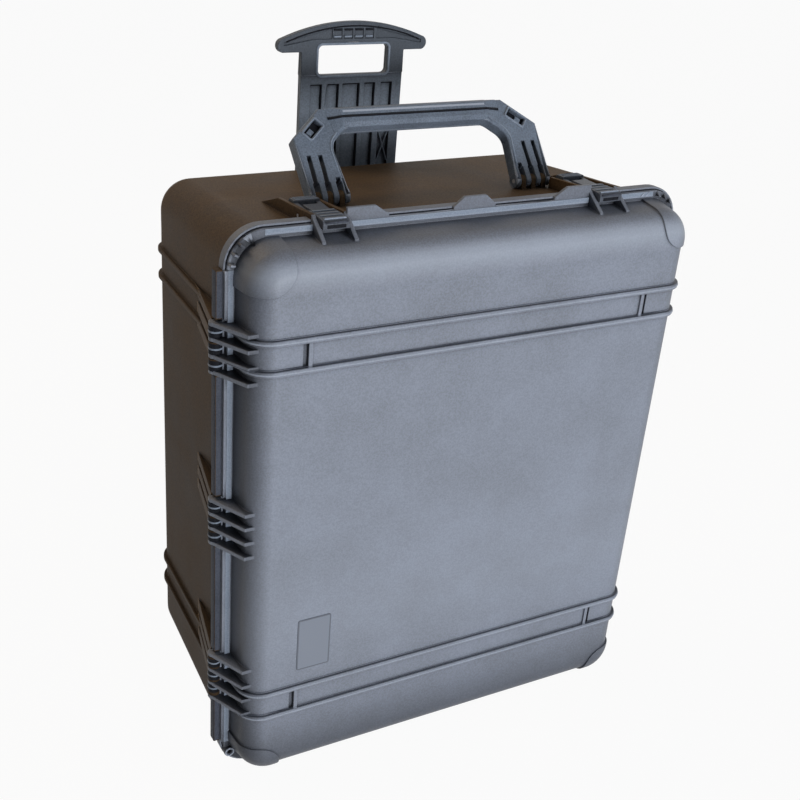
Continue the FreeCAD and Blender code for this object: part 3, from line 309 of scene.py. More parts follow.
@dataclass(frozen=True)
class Plastic:
    """Moulded plastic: pebbled grain, cloudy colour, painted shade in corners, pale edges of wear and painted
    highlight, and painted bands of shade and highlight.

    The height stops of painted shade and of painted highlight are heights in metres with the share of dark or
    pale colour there, and the side stops of painted shade are distances from the case's middle with the share
    of dark colour.
    """

    name: str
    colour: Colour
    pale: Colour
    # Painted shade: the dark colour put in corners and recesses and by the height and side stops
    corner: Colour = from_display(30, 31, 36)
    # Pale colour of edges, part wear and part painted highlight; also the colour of the painted highlight by
    # height
    wear_and_highlight: Colour = from_display(176, 184, 198)
    corner_shade_reach: float = 7.0 * MM
    corner_shade_share: float = 0.85
    corner_shade_stops: Stops = ((0.12, 0.0), (0.60, 1.0))
    edge_reach: float = 1.6 * MM
    edge_share: float = 0.55
    edge_stops: Stops = ((0.50, 0.0), (0.85, 1.0))
    cloud_cells: float = 11.0
    cloud_share: float = 0.45
    cloud_stops: Stops = ((0.35, 0.0), (0.68, 1.0))
    speckle_cells: float = 420.0
    speckle_share: float = 0.65
    speckle_stops: Stops = ((0.38, 0.0), (0.62, 1.0))
    scuff_cells: float = 38.0
    scuff_turn: Point = (0.3, 0.5, 0.2)
    scuff_scale: Point = (1.0, 0.6, 9.0)
    scuff_share: float = 0.10
    scuff_stops: Stops = ((0.60, 0.0), (0.74, 1.0))
    scuff_gloss: float = 0.05
    # Painted shade and painted highlight by height, and painted shade by the distance from the middle
    height_shade: Stops = ()
    height_highlight: Stops = ()
    side_shade: Stops = ()
    ramp_height: float = 1.2
    side_shade_scale: float = 7.0
    fleck_cells: float = 260.0
    fleck_on_edge: float = 0.1
    fleck_on_grain: float = 0.5
    grain_cells: float = 620.0
    grain_height: float = 0.12 * MM
    relief: float = 0.55
    roughness: float = 0.46
    roughness_spread: float = 0.16
    specular: float = 0.18

    def graded(self, graph: Graph, place: Value, colour: Value) -> Value:
        """Paint shade and highlight into a colour by the height and the distance from the case's middle.

        Args:
            graph: the material's graph.
            place: place on the object.
            colour: the plain colour.

        Returns:
            The colour with painted shade and highlight.
        """
        if not (self.height_shade or self.side_shade or self.height_highlight):
            return colour
        across, _, upward = graph.split(place)
        rise = upward * (1.0 / self.ramp_height)
        outward = across * across * self.side_shade_scale
        height_shade, height_highlight = [[(height / self.ramp_height, share) for height, share in stops]
                       for stops in (self.height_shade, self.height_highlight)]
        side_shade = [(reach ** 2 * self.side_shade_scale, share) for reach, share in self.side_shade]
        # Painted shade by height, painted shade on the sides, then a painted highlight by height
        for value, stops, shade in ((rise, height_shade, self.corner), (outward, side_shade, self.corner),
                                    (rise, height_highlight, self.wear_and_highlight)):
            if stops:
                colour = graph.mix(graph.ramp(value, stops), colour, rgba(shade))
        return colour

    def material(self) -> bpy.types.Material:
        """Build the node material."""
        material, graph, place = material_graph(self.name)
        cloud = graph.noise(place, self.cloud_cells, detail=4.0, rough=0.6)
        fleck = graph.noise(place, self.fleck_cells)
        stretch = graph.add("ShaderNodeMapping", None,
                            {"Vector": place, "Rotation": self.scuff_turn, "Scale": self.scuff_scale})
        scuff = graph.patches(stretch, self.scuff_cells, self.scuff_stops, detail=5.0, rough=0.7)
        speckle = graph.patches(place, self.speckle_cells, self.speckle_stops, detail=3.0, rough=0.7)
        pale_share = (graph.ramp(cloud, self.cloud_stops) * self.cloud_share
                      + speckle * self.speckle_share + scuff * self.scuff_share)
        # Plain colour with painted shade and highlight by height and side
        plain = self.graded(graph, place, graph.mix(pale_share, rgba(self.colour), rgba(self.pale)))
        # Painted shade in corners and recesses
        corner = graph.ramp(graph.crevice(self.corner_shade_reach), self.corner_shade_stops)
        shaded = graph.mix(corner * self.corner_shade_share, plain, rgba(self.corner))
        # Pale edges, part wear and part painted highlight
        edge_wear_and_highlight = graph.ramp(graph.crevice(self.edge_reach, True) + fleck * self.fleck_on_edge, self.edge_stops)
        grain = graph.cells(place, self.grain_cells) + fleck * self.fleck_on_grain
        graph.finish({"Base Color": graph.mix(edge_wear_and_highlight * self.edge_share, shaded, rgba(self.wear_and_highlight)),
                      "Roughness": self.roughness + cloud * self.roughness_spread - scuff * self.scuff_gloss,
                      "Normal": graph.bump(self.relief, self.grain_height, grain),
                      "Specular IOR Level": self.specular})
        return material


@dataclass(frozen=True)
class Rubber:
    """Dull rubber with fine dust in its grain."""

    name: str
    colour: Colour
    dust: Colour
    dust_share: float = 0.35
    dust_cells: float = 24.0
    dust_stops: Stops = ((0.42, 0.0), (0.72, 1.0))
    grain_cells: float = 700.0
    grain_height: float = 0.2 * MM
    relief: float = 0.5
    roughness: float = 0.72
    dust_roughness: float = 0.18
    specular: float = 0.25

    def material(self) -> bpy.types.Material:
        """Build the node material."""
        material, graph, place = material_graph(self.name)
        patch = graph.patches(place, self.dust_cells, self.dust_stops, detail=5.0, rough=0.65)
        grain = graph.noise(place, self.grain_cells, detail=3.0)
        graph.finish({"Base Color": graph.mix(patch * self.dust_share, rgba(self.colour), rgba(self.dust)),
                      "Roughness": self.roughness + patch * self.dust_roughness,
                      "Normal": graph.bump(self.relief, self.grain_height, grain),
                      "Specular IOR Level": self.specular})
        return material


@dataclass(frozen=True)
class Steel:
    """Plated steel with drawn lines along one axis and small stains."""

    name: str
    colour: Colour
    stain: Colour
    drawn_scale: Point = (1.0, 1.0, 0.04)
    drawn_cells: float = 2400.0
    drawn_height: float = 0.05 * MM
    relief: float = 0.2
    stain_cells: float = 90.0
    stain_share: float = 0.4
    stain_stops: Stops = ((0.55, 0.0), (0.75, 1.0))
    roughness: float = 0.30
    drawn_roughness: float = 0.12
    stain_roughness: float = 0.15

    def material(self) -> bpy.types.Material:
        """Build the node material."""
        material, graph, place = material_graph(self.name)
        along = graph.add("ShaderNodeMapping", None, {"Vector": place, "Scale": self.drawn_scale})
        lines = graph.noise(along, self.drawn_cells)
        stain = graph.patches(place, self.stain_cells, self.stain_stops, detail=4.0, rough=0.6)
        rough = self.roughness + lines * self.drawn_roughness + stain * self.stain_roughness
        graph.finish({"Base Color": graph.mix(stain * self.stain_share, rgba(self.colour), rgba(self.stain)),
                      "Metallic": 1.0, "Roughness": rough,
                      "Normal": graph.bump(self.relief, self.drawn_height, lines)})
        return material


@dataclass(frozen=True)
class PlateFinish:
    """Blank plate: a satin film with a plain field inside a thin darker border."""

    name: str
    field_colour: Colour
    border_colour: Colour
    low: Point
    high: Point
    border: float = 2.2 * MM
    fleck_cells: float = 420.0
    fleck_share: float = 0.12
    fleck_height: float = 0.05 * MM
    relief: float = 0.3
    roughness: float = 0.34
    fleck_roughness: float = 0.1
    specular: float = 0.4

    def material(self) -> bpy.types.Material:
        """Build the node material."""
        material, graph, place = material_graph(self.name)
        across, _, upward = graph.split(place)
        edges = [across - self.low[0], self.high[0] - across, upward - self.low[2], self.high[2] - upward]
        inset = edges[0].at_most(edges[1]).at_most(edges[2]).at_most(edges[3])
        inside = graph.add("ShaderNodeMath", {"operation": "GREATER_THAN"}, {0: inset, 1: self.border})
        fleck = graph.noise(place, self.fleck_cells, detail=3.0)
        colour = graph.mix(inside, rgba(self.border_colour), rgba(self.field_colour))
        graph.finish({"Base Color": graph.mix(fleck * self.fleck_share, colour, rgba(self.border_colour)),
                      "Roughness": self.roughness + fleck * self.fleck_roughness,
                      "Normal": graph.bump(self.relief, self.fleck_height, fleck),
                      "Specular IOR Level": self.specular})
        return material


class Look(Enum):
    """Every finish on the case. The plastics of lid, base, handles, trolley, lip, latches, crests and trim
    are lit and shaded copies of one black plastic, so their tones hold painted light.
    """

    # Lit copy: painted shade near the floor, on the top face and on both sides, and a painted highlight along
    # the rounded top edge and over the lower front
    LID = Plastic("lid_plastic", from_display(122, 127, 137), from_display(142, 149, 164),
                  roughness=0.34, specular=0.14, corner_shade_reach=26.0 * MM, corner_shade_share=0.95,
                  height_shade=((0.0, 0.85), (0.03, 0.7), (0.11, 0.12), (0.14, 0.0), (0.817, 0.0), (0.826, 0.3)),
                  height_highlight=((0.14, 0.0), (0.28, 0.2), (0.50, 0.08), (0.775, 0.0), (0.802, 0.5), (0.811, 0.4),
                         (0.820, 0.0)),
                  side_shade=((0.308, 0.0), (0.330, 0.45), (0.341, 0.6), (0.3445, 0.0)))
    # Shaded copy, brown with a painted warm reflection; painted shade in corners and over most of its height,
    # strongest at the floor
    BASE = Plastic("base_plastic", from_display(64, 52, 41), from_display(97, 79, 59),
                   corner=from_display(24, 20, 18), wear_and_highlight=from_display(150, 126, 96), specular=0.04,
                   corner_shade_reach=14.0 * MM, corner_shade_share=0.95,
                   height_shade=((0.012, 0.65), (0.10, 0.45), (0.45, 0.42), (0.80, 0.12), (0.84, 0.0)))
    # Handle tone set by painted light, with full painted shade in corners and full pale edges of wear and
    # painted highlight
    GRIP = Plastic("handle_plastic", from_display(92, 101, 114), from_display(122, 134, 151),
                   grain_cells=900.0, roughness=0.38, corner_shade_reach=8.0 * MM, corner_shade_share=1.0, specular=0.2,
                   edge_reach=2.5 * MM, edge_share=1.0)
    # Trolley tone set by painted light, darker towards the top of its grip
    BLADE = Plastic("trolley_plastic", from_display(102, 111, 122), from_display(128, 138, 152),
                    grain_cells=900.0, roughness=0.40, corner_shade_reach=9.0 * MM, corner_shade_share=1.0, specular=0.15,
                    edge_share=0.75, height_shade=((0.945, 0.0), (0.955, 0.62)))
    # Lit copy: painted highlight on the base's rim
    LIP = Plastic("lip_plastic", from_display(108, 113, 124), from_display(128, 134, 146), specular=0.2)
    # Latch tone set by painted light
    LATCH = Plastic("latch_plastic", from_display(66, 70, 79), from_display(92, 98, 109),
                    grain_cells=1100.0, roughness=0.36, corner_shade_reach=5.0 * MM)
    # Lit copy: painted highlight on the ridges' crests, the corner marks and the boss ring
    CREST_HIGHLIGHT = Plastic("ridge_crest_highlight", from_display(142, 150, 164), from_display(166, 174, 189), specular=0.25,
                    corner_shade_share=0.3, edge_share=0.2)
    # Shaded copy: painted shade on the lines above the ridges, the hook's nose and the lip strips
    GROOVE = Plastic("painted_shade_plastic", from_display(62, 66, 76), from_display(84, 89, 101), specular=0.06,
                     edge_share=0.0)
    # Near black: painted shade in grooves, hollows, notches, pockets, hinge sleeves and the gap where the
    # halves meet
    HOLLOW = Plastic("painted_deep_shade", from_display(20, 21, 26), from_display(34, 36, 42), specular=0.06,
                     edge_share=0.0)
    # Lit copy: painted highlight on beads, bars, bands, rims, notches and bushings
    TRIM = Plastic("painted_highlight_trim", from_display(120, 131, 147), from_display(146, 157, 174),
                   grain_cells=900.0, roughness=0.38, corner_shade_share=0.4, specular=0.15)
    WHEEL = Plastic("hub_plastic", from_display(60, 62, 66), from_display(82, 84, 90), grain_cells=800.0)
    SEAL = Rubber("seal_rubber", from_display(34, 34, 36), from_display(80, 78, 74))
    TYRE = Rubber("tyre_rubber", from_display(38, 38, 40), from_display(112, 106, 98), 0.5)
    STEEL = Steel("plated_steel", from_display(176, 176, 180), from_display(120, 110, 100))


class Wardrobe:
    """Materials, each made once."""

    def __init__(self) -> None:
        """Start with none made."""
        self._made: dict[str, bpy.types.Material] = {}

    def get(self, look: Any) -> bpy.types.Material:
        """Material of a finish.

        Args:
            look: a Look, or a finish of its own.

        Returns:
            The material, made on the first call.
        """
        finish = look.value if isinstance(look, Look) else look
        if finish.name not in self._made:
            self._made[finish.name] = finish.material()
        return self._made[finish.name]


WARDROBE = Wardrobe()


# Geometry trees


class Maker(Graph):
    """Geometry Nodes tree with named inputs and one mesh as its result."""

    def __init__(self, name: str) -> None:
        """Start a tree with its result socket."""
        super().__init__(bpy.data.node_groups.new(name, "GeometryNodeTree"))
        self.tree.interface.new_socket("Mesh", in_out="OUTPUT", socket_type="NodeSocketGeometry")
        self.entry = self.node("NodeGroupInput")

    def ask(self, name: str, kind: str = "Float") -> Value:
        """Add a named input.

        Args:
            name: name of the input.
            kind: kind of its socket.

        Returns:
            The input's value.
        """
        self.tree.interface.new_socket(name, in_out="INPUT", socket_type="NodeSocket" + kind)
        return Value(self, self.entry.outputs[name])

    def row(self) -> Value:
        """Points in a row, by the inputs Count, First and Step."""
        return self.add("GeometryNodeMeshLine", {"mode": "OFFSET"},
                        {"Count": self.ask("Count", "Int"), "Start Location": self.ask("First", "Vector"),
                         "Offset": self.ask("Step", "Vector")})

    def end(self, shape: Value) -> None:
        """Make the instances real, give them the asked finish and send them out."""
        real = self.add("GeometryNodeRealizeInstances", None, {"Geometry": shape})
        dressed = self.add("GeometryNodeSetMaterial", None,
                           {"Geometry": real, "Material": self.ask("Finish", "Material")})
        self.node("NodeGroupOutput", None, {"Mesh": dressed})


def bar_row() -> bpy.types.NodeTree:
    """Tree of equal bars in a row, such as the bands of a latch."""
    maker = Maker("bar_row")
    line = maker.row()
    bar = maker.add("GeometryNodeMeshCube", None, {"Size": maker.ask("Size", "Vector")})
    maker.end(maker.add("GeometryNodeInstanceOnPoints", None, {"Points": line, "Instance": bar}))
    return maker.tree


def collar_row() -> bpy.types.NodeTree:
    """Tree of equal round collars in a row, such as the bushings of a hinge."""
    maker = Maker("collar_row")
    line = maker.row()
    collar = maker.add("GeometryNodeMeshCylinder", None,
                       {"Vertices": COLLAR_SIDES, "Radius": maker.ask("Radius"), "Depth": maker.ask("Depth")})
    maker.end(maker.add("GeometryNodeInstanceOnPoints", None, {"Points": line, "Instance": collar}))
    return maker.tree


def bar_ring() -> bpy.types.NodeTree:
    """Tree of equal bars round an axis, such as a tyre's tread or a hub's spokes."""
    maker = Maker("bar_ring")
    ring = maker.add("GeometryNodeMeshCircle", None,
                     {"Vertices": maker.ask("Count", "Int"), "Radius": maker.ask("Radius")})
    bar = maker.add("GeometryNodeMeshCube", None, {"Size": maker.ask("Size", "Vector")})
    outward = maker.add("FunctionNodeAlignRotationToVector", {"axis": "X"},
                        {"Vector": maker.add("GeometryNodeInputPosition")})
    maker.end(maker.add("GeometryNodeInstanceOnPoints", None,
                        {"Points": ring, "Instance": bar, "Rotation": outward}))
    return maker.tree


TREES = {tree.name: tree for tree in (bar_row(), collar_row(), bar_ring())}


# Mesh tools


def link(name: str, mesh: bpy.types.Mesh) -> bpy.types.Object:
    """Put a mesh in the scene as an object at the origin."""
    piece = bpy.data.objects.new(name, mesh)
    bpy.context.scene.collection.objects.link(piece)
    return piece


def piece_of(name: str, shape: bmesh.types.BMesh, place: Matrix = Matrix()) -> bpy.types.Object:
    """Turn a shape into a piece.

    Args:
        name: name of the piece.
        shape: the shape, which is freed.
        place: turns the shape's frame into metres in the case's frame.

    Returns:
        The piece.
    """
    mesh = bpy.data.meshes.new(name)
    shape.to_mesh(mesh)
    shape.free()
    mesh.transform(place)
    return link(name, mesh)


def settled(piece: bpy.types.Object) -> bpy.types.Object:
    """Turn a piece's modifiers into plain mesh.

    Args:
        piece: object with live modifiers.

    Returns:
        The same object with the result as its mesh and no modifiers.
    """
    bpy.context.view_layer.update()
    graph = bpy.context.evaluated_depsgraph_get()
    mesh = bpy.data.meshes.new_from_object(piece.evaluated_get(graph))
    piece.modifiers.clear()
    old = piece.data
    piece.data = mesh
    mesh.name = piece.name
    bpy.data.meshes.remove(old)
    return piece


def rounded(piece: bpy.types.Object, width: float) -> bpy.types.Object:
    """Round a piece's sharp edges and smooth its shading.

    Args:
        piece: the object.
        width: width of the rounding in metres.

    Returns:
        The object, with plain mesh.
    """
    bevel = piece.modifiers.new("Round", "BEVEL")
    bevel.width = width
    bevel.segments = ROUND_FACES
    bevel.limit_method = "ANGLE"
    bevel.angle_limit = ROUND_ANGLE
    bevel.use_clamp_overlap = False
    bevel.loop_slide = False
    bevel.miter_outer = "MITER_ARC"
    plain = BVHTree.FromPolygons([point.co for point in piece.data.vertices],
                                 [tuple(face.vertices) for face in piece.data.polygons])
    settled(piece)
    for point in piece.data.vertices:
        near, _, _, gap = plain.find_nearest(point.co)
        if gap > width * SPIKE_SHARE:
            point.co = near
    weigh = piece.modifiers.new("Weigh", "WEIGHTED_NORMAL")
    weigh.keep_sharp = True
    for polygon in piece.data.polygons:
        polygon.use_smooth = True
    return settled(piece)


def merge_points(mesh: bpy.types.Mesh, gap: float) -> None:
    """Merge points that lie closer than a gap, and take out what then has no length or area.

    Args:
        mesh: the mesh.
        gap: the gap in metres.
    """
    shape = bmesh.new()
    shape.from_mesh(mesh)
    bmesh.ops.remove_doubles(shape, verts=shape.verts, dist=gap)
    bmesh.ops.dissolve_degenerate(shape, edges=shape.edges, dist=gap)
    shape.to_mesh(mesh)
    shape.free()


def cleaned_copy(node: str, name: str) -> bpy.types.Object:
    """Copy a CAD node's mesh with its seams merged.

    Args:
        node: the CAD node.
        name: name of the new piece.

    Returns:
        The new piece.
    """
    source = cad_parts[node]
    mesh = source.data.copy()
    mesh.materials.clear()
    merge_points(mesh, SEAM_GAP)
    if mesh.has_custom_normals:
        mesh.normals_split_custom_set([(0.0, 0.0, 0.0)] * len(mesh.loops))
    return link(name, mesh)


def bead(name: str, path: Sequence[Point], radius: float, place: Matrix, closed: bool = False,
         sides: int = 8) -> bpy.types.Object:
    """Sweep a round bead along a path.

    Args:
        name: name of the piece.
        path: points of the path in millimetres, in the frame of place.
        radius: radius of the bead in millimetres.
        place: turns millimetres in the path's frame into metres in the case's frame.
        closed: whether the path joins its own start.
        sides: faces round the bead.

    Returns:
        The piece.
    """
    points = [Vector(point) for point in path]
    count = len(points)
    shape = bmesh.new()
    rings = []
    aside = Vector((0.0, 0.0, 0.0))
    for number, point in enumerate(points):
        before = points[(number - 1) % count] if closed or number else point
        after = points[(number + 1) % count] if closed or number < count - 1 else point
        ahead = (after - before).normalized()
        if not aside.length:
            aside = ahead.orthogonal().normalized()
        aside = (aside - ahead * aside.dot(ahead)).normalized()
        upward = ahead.cross(aside)
        turns = [2 * math.pi * side / sides for side in range(sides)]
        rings.append([shape.verts.new(point + (aside * math.cos(turn) + upward * math.sin(turn)) * radius)
                      for turn in turns])
    pairs = list(zip(rings, rings[1:]))
    if closed:
        pairs.append((rings[-1], rings[0]))
    else:
        shape.faces.new(rings[0][::-1])
        shape.faces.new(rings[-1])
    for first, second in pairs:
        for side in range(sides):
            following = (side + 1) % sides
            shape.faces.new((first[side], first[following], second[following], second[side]))
    bmesh.ops.recalc_face_normals(shape, faces=shape.faces)
    piece = piece_of(name, shape, place)
    for polygon in piece.data.polygons:
        polygon.use_smooth = len(polygon.vertices) == 4
    return piece


def grown(name: str, tree: bpy.types.NodeTree, look: Any, place: Matrix, width: float,
          **inputs: Any) -> bpy.types.Object:
    """Grow a piece from a tree, place it and round its edges.

    Args:
        name: name of the piece.
        tree: the Geometry Nodes tree.
        look: finish of the piece.
        place: turns millimetres in the tree's frame into metres in the case's frame.
        width: width of the rounding in millimetres.
        inputs: value of each named input, in millimetres where it is a size.

    Returns:
        The piece, as plain mesh.
    """
    piece = link(name, bpy.data.meshes.new(name))
    modifier = piece.modifiers.new("Grow", "NODES")
    modifier.node_group = tree
    sockets = {item.name: item.identifier for item in tree.interface.items_tree if item.in_out == "INPUT"}
    for label, value in (inputs | {"Finish": WARDROBE.get(look)}).items():
        modifier[sockets[label]] = value
    settled(piece)
    piece.data.transform(place)
    return rounded(piece, width * MM)


def slab(name: str, centre: Sequence[float], size: Sequence[float], place: Matrix, width: float = 0.4,
         turn: Matrix = Matrix()) -> bpy.types.Object:
    """Make a small block with rounded edges.

    Args:
        name: name of the piece.
        centre: its middle in millimetres, in the frame of place.
        size: its three sides in millimetres.
        place: turns millimetres in that frame into metres in the case's frame.
        width: width of the rounding in millimetres.
        turn: turn about its own middle.

    Returns:
        The piece.
    """
    shape = bmesh.new()
    bmesh.ops.create_cube(shape, size=1.0)
    seat = place @ Matrix.Translation(centre) @ turn @ Matrix.Diagonal((*size, 1.0))
    return rounded(piece_of(name, shape, seat), width * MM)


def joined(name: str, pieces: Sequence[bpy.types.Object]) -> bpy.types.Object:
    """Join pieces of one finish into one.

    Args:
        name: name of the new piece.
        pieces: the pieces, which are removed.

    Returns:
        The new piece.
    """
    shape = bmesh.new()
    for piece in pieces:
        old = piece.data
        shape.from_mesh(old)
        bpy.data.objects.remove(piece)
        bpy.data.meshes.remove(old)
    return piece_of(name, shape)


def band(name: str, outer: Sequence[Spot], inner: Sequence[Spot], span: tuple[float, float],
         width: float) -> bpy.types.Object:
    """Make a flat closed band between two outlines of as many points.

    Args:
        name: name of the piece.
        outer: outer outline in millimetres, across and upward from the case's middle.
        inner: inner outline.
        span: its front and back depths in millimetres.
        width: width of the rounding in millimetres.

    Returns:
        The piece.
    """
    shape = bmesh.new()
    rings = [[shape.verts.new((across, depth, MIDDLE_Z + rise)) for across, rise in line]
             for line, depth in ((outer, span[0]), (outer, span[1]), (inner, span[1]), (inner, span[0]))]
    count = len(outer)
    for first, second in zip(rings, rings[1:] + rings[:1]):
        for number in range(count):
            after = (number + 1) % count
            shape.faces.new((first[number], first[after], second[after], second[number]))
    bmesh.ops.recalc_face_normals(shape, faces=shape.faces)
    return rounded(piece_of(name, shape, METRES), width * MM)


def wrapped(name: str, points: Sequence[Point], place: Matrix, width: float) -> bpy.types.Object:
    """Make the convex block round a few points, with rounded edges.

    Args:
        name: name of the piece.
        points: the points in millimetres, in the frame of place.
        place: turns millimetres in that frame into metres in the case's frame.
        width: width of the rounding in millimetres.

    Returns:
        The piece.
    """
    shape = bmesh.new()
    for point in points:
        shape.verts.new(point)
    bmesh.ops.convex_hull(shape, input=shape.verts)
    bmesh.ops.recalc_face_normals(shape, faces=shape.faces)
    return rounded(piece_of(name, shape, place), width * MM)


def eased(corners: Sequence[Spot], radius: float, steps: int = 6) -> list[Spot]:
    """Round the inner corners of an open line.

    Args:
        corners: the line's corners.
        radius: distance from each corner at which its curve starts.
        steps: points on each curve.

    Returns:
        The rounded line.
    """
    line = [corners[0]]
    for before, corner, after in zip(corners, corners[1:], corners[2:]):
        middle = Vector(corner)
        start, end = [middle + (Vector(other) - middle).normalized() * radius for other in (before, after)]
        for step in range(steps + 1):
            share = step / steps
            spot = start * (1 - share) ** 2 + middle * (2 * share * (1 - share)) + end * share ** 2
            line.append((spot.x, spot.y))
    return line + [corners[-1]]


def round_corners(half_width: float, half_height: float, radius: float, steps: int = 10) -> list[Spot]:
    """Closed outline of a rectangle with round corners, about nought.

    Args:
        half_width: half of its width.
        half_height: half of its height.
        radius: radius of its corners.
        steps: parts of each corner's curve.

    Returns:
        The outline's points.
    """
    line = []
    for number, (side_x, side_z) in enumerate(((1, 1), (-1, 1), (-1, -1), (1, -1))):
        for step in range(steps + 1):
            turn = math.pi / 2 * (number + step / steps)
            line.append((side_x * (half_width - radius) + radius * math.cos(turn),
                         side_z * (half_height - radius) + radius * math.sin(turn)))
    return line


def front_outline(node: str, height: float, back: float, inset: float) -> list[Point]:
    """Line round the front of a CAD node at one height, from its left to its right.

    Args:
        node: the CAD node.
        height: height of the line in metres.
        back: depth at which the line ends, in metres.
        inset: distance of the line inside the surface, in metres.

    Returns:
        Points of the line in metres.
    """
    shape = bmesh.new()
    shape.from_mesh(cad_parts[node].data)
    bmesh.ops.bisect_plane(shape, geom=shape.verts[:] + shape.edges[:] + shape.faces[:],
                           plane_co=(0.0, 0.0, height), plane_no=(0.0, 0.0, 1.0),
                           clear_inner=True, clear_outer=True)
    spots = sorted({(round(point.co.x, OUTLINE_DIGITS), round(point.co.y, OUTLINE_DIGITS))
                    for point in shape.verts if point.co.y < back})
    shape.free()
    line: list[Spot] = []
    for spot in spots:
        while len(line) > 1 and turns_in(line[-2], line[-1], spot):
            line.pop()
        line.append(spot)
    ends = [(spots[0][0], back), (spots[-1][0], back)]
    line = [ends[0]] + line + [ends[1]]
    points = []
    for before, spot, after in zip([line[0]] + line, line, line[1:] + [line[-1]]):
        along = (Vector(after) - Vector(before)).normalized()
        points.append((spot[0] - along.y * inset, spot[1] + along.x * inset, height))
    return points


def turns_in(first: Spot, second: Spot, third: Spot) -> bool:
    """Whether a line through three points bends back towards the case."""
    return ((second[0] - first[0]) * (third[1] - first[1])
            - (second[1] - first[1]) * (third[0] - first[0])) <= 0


def dress(piece: bpy.types.Object, look: Any) -> bpy.types.Object:
    """Give a piece one finish.

    Args:
        piece: the object.
        look: its finish.

    Returns:
        The object.
    """
    piece.data.materials.clear()
    piece.data.materials.append(WARDROBE.get(look))
    return piece


def dress_node(node: str, look: Any) -> None:
    """Give a shown CAD node one finish, with its mesh left as it is."""
    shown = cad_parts[node]
    if not shown.material_slots:
        shown.data.materials.append(WARDROBE.get(look))
    for place in shown.material_slots:
        place.material = WARDROBE.get(look)
    log.info("%s: CAD node, %s", node, WARDROBE.get(look).name)


def declare(piece: bpy.types.Object, body: str, replaces: Sequence[str] = ()) -> None:
    """Hang a new piece on the empty of the body that it rides on, and hide the CAD nodes that it stands for.

    Args:
        piece: the object.
        body: the CAD body.
        replaces: CAD nodes that it hides.
    """
    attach(piece, body)
    if replaces:
        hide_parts(*replaces)
    log.info("%s: on %s, %d faces", piece.name, body, len(piece.data.polygons))


# Sub-assemblies


@dataclass
class MouldedNode:
    """CAD node shown as a copy with rounded edges."""

    node: str
    body: str
    slot: str
    look: Look
    width: float = 0.8 * MM

    def build(self) -> None:
        piece = rounded(cleaned_copy(self.node, self.node + "_moulding"), self.width)
        declare(dress(piece, self.look), self.body, (self.node,))


class Seat(Enum):
    """Edge of the case that a handle or latch sits on, as the turn from flange coordinates."""

    TOP = Matrix.Translation((0.0, 0.0, TOP_Z))
    SIDE = Matrix.Translation((SIDE_X, 0.0, MIDDLE_Z)) @ Matrix.Rotation(math.pi / 2, 4, "Y")


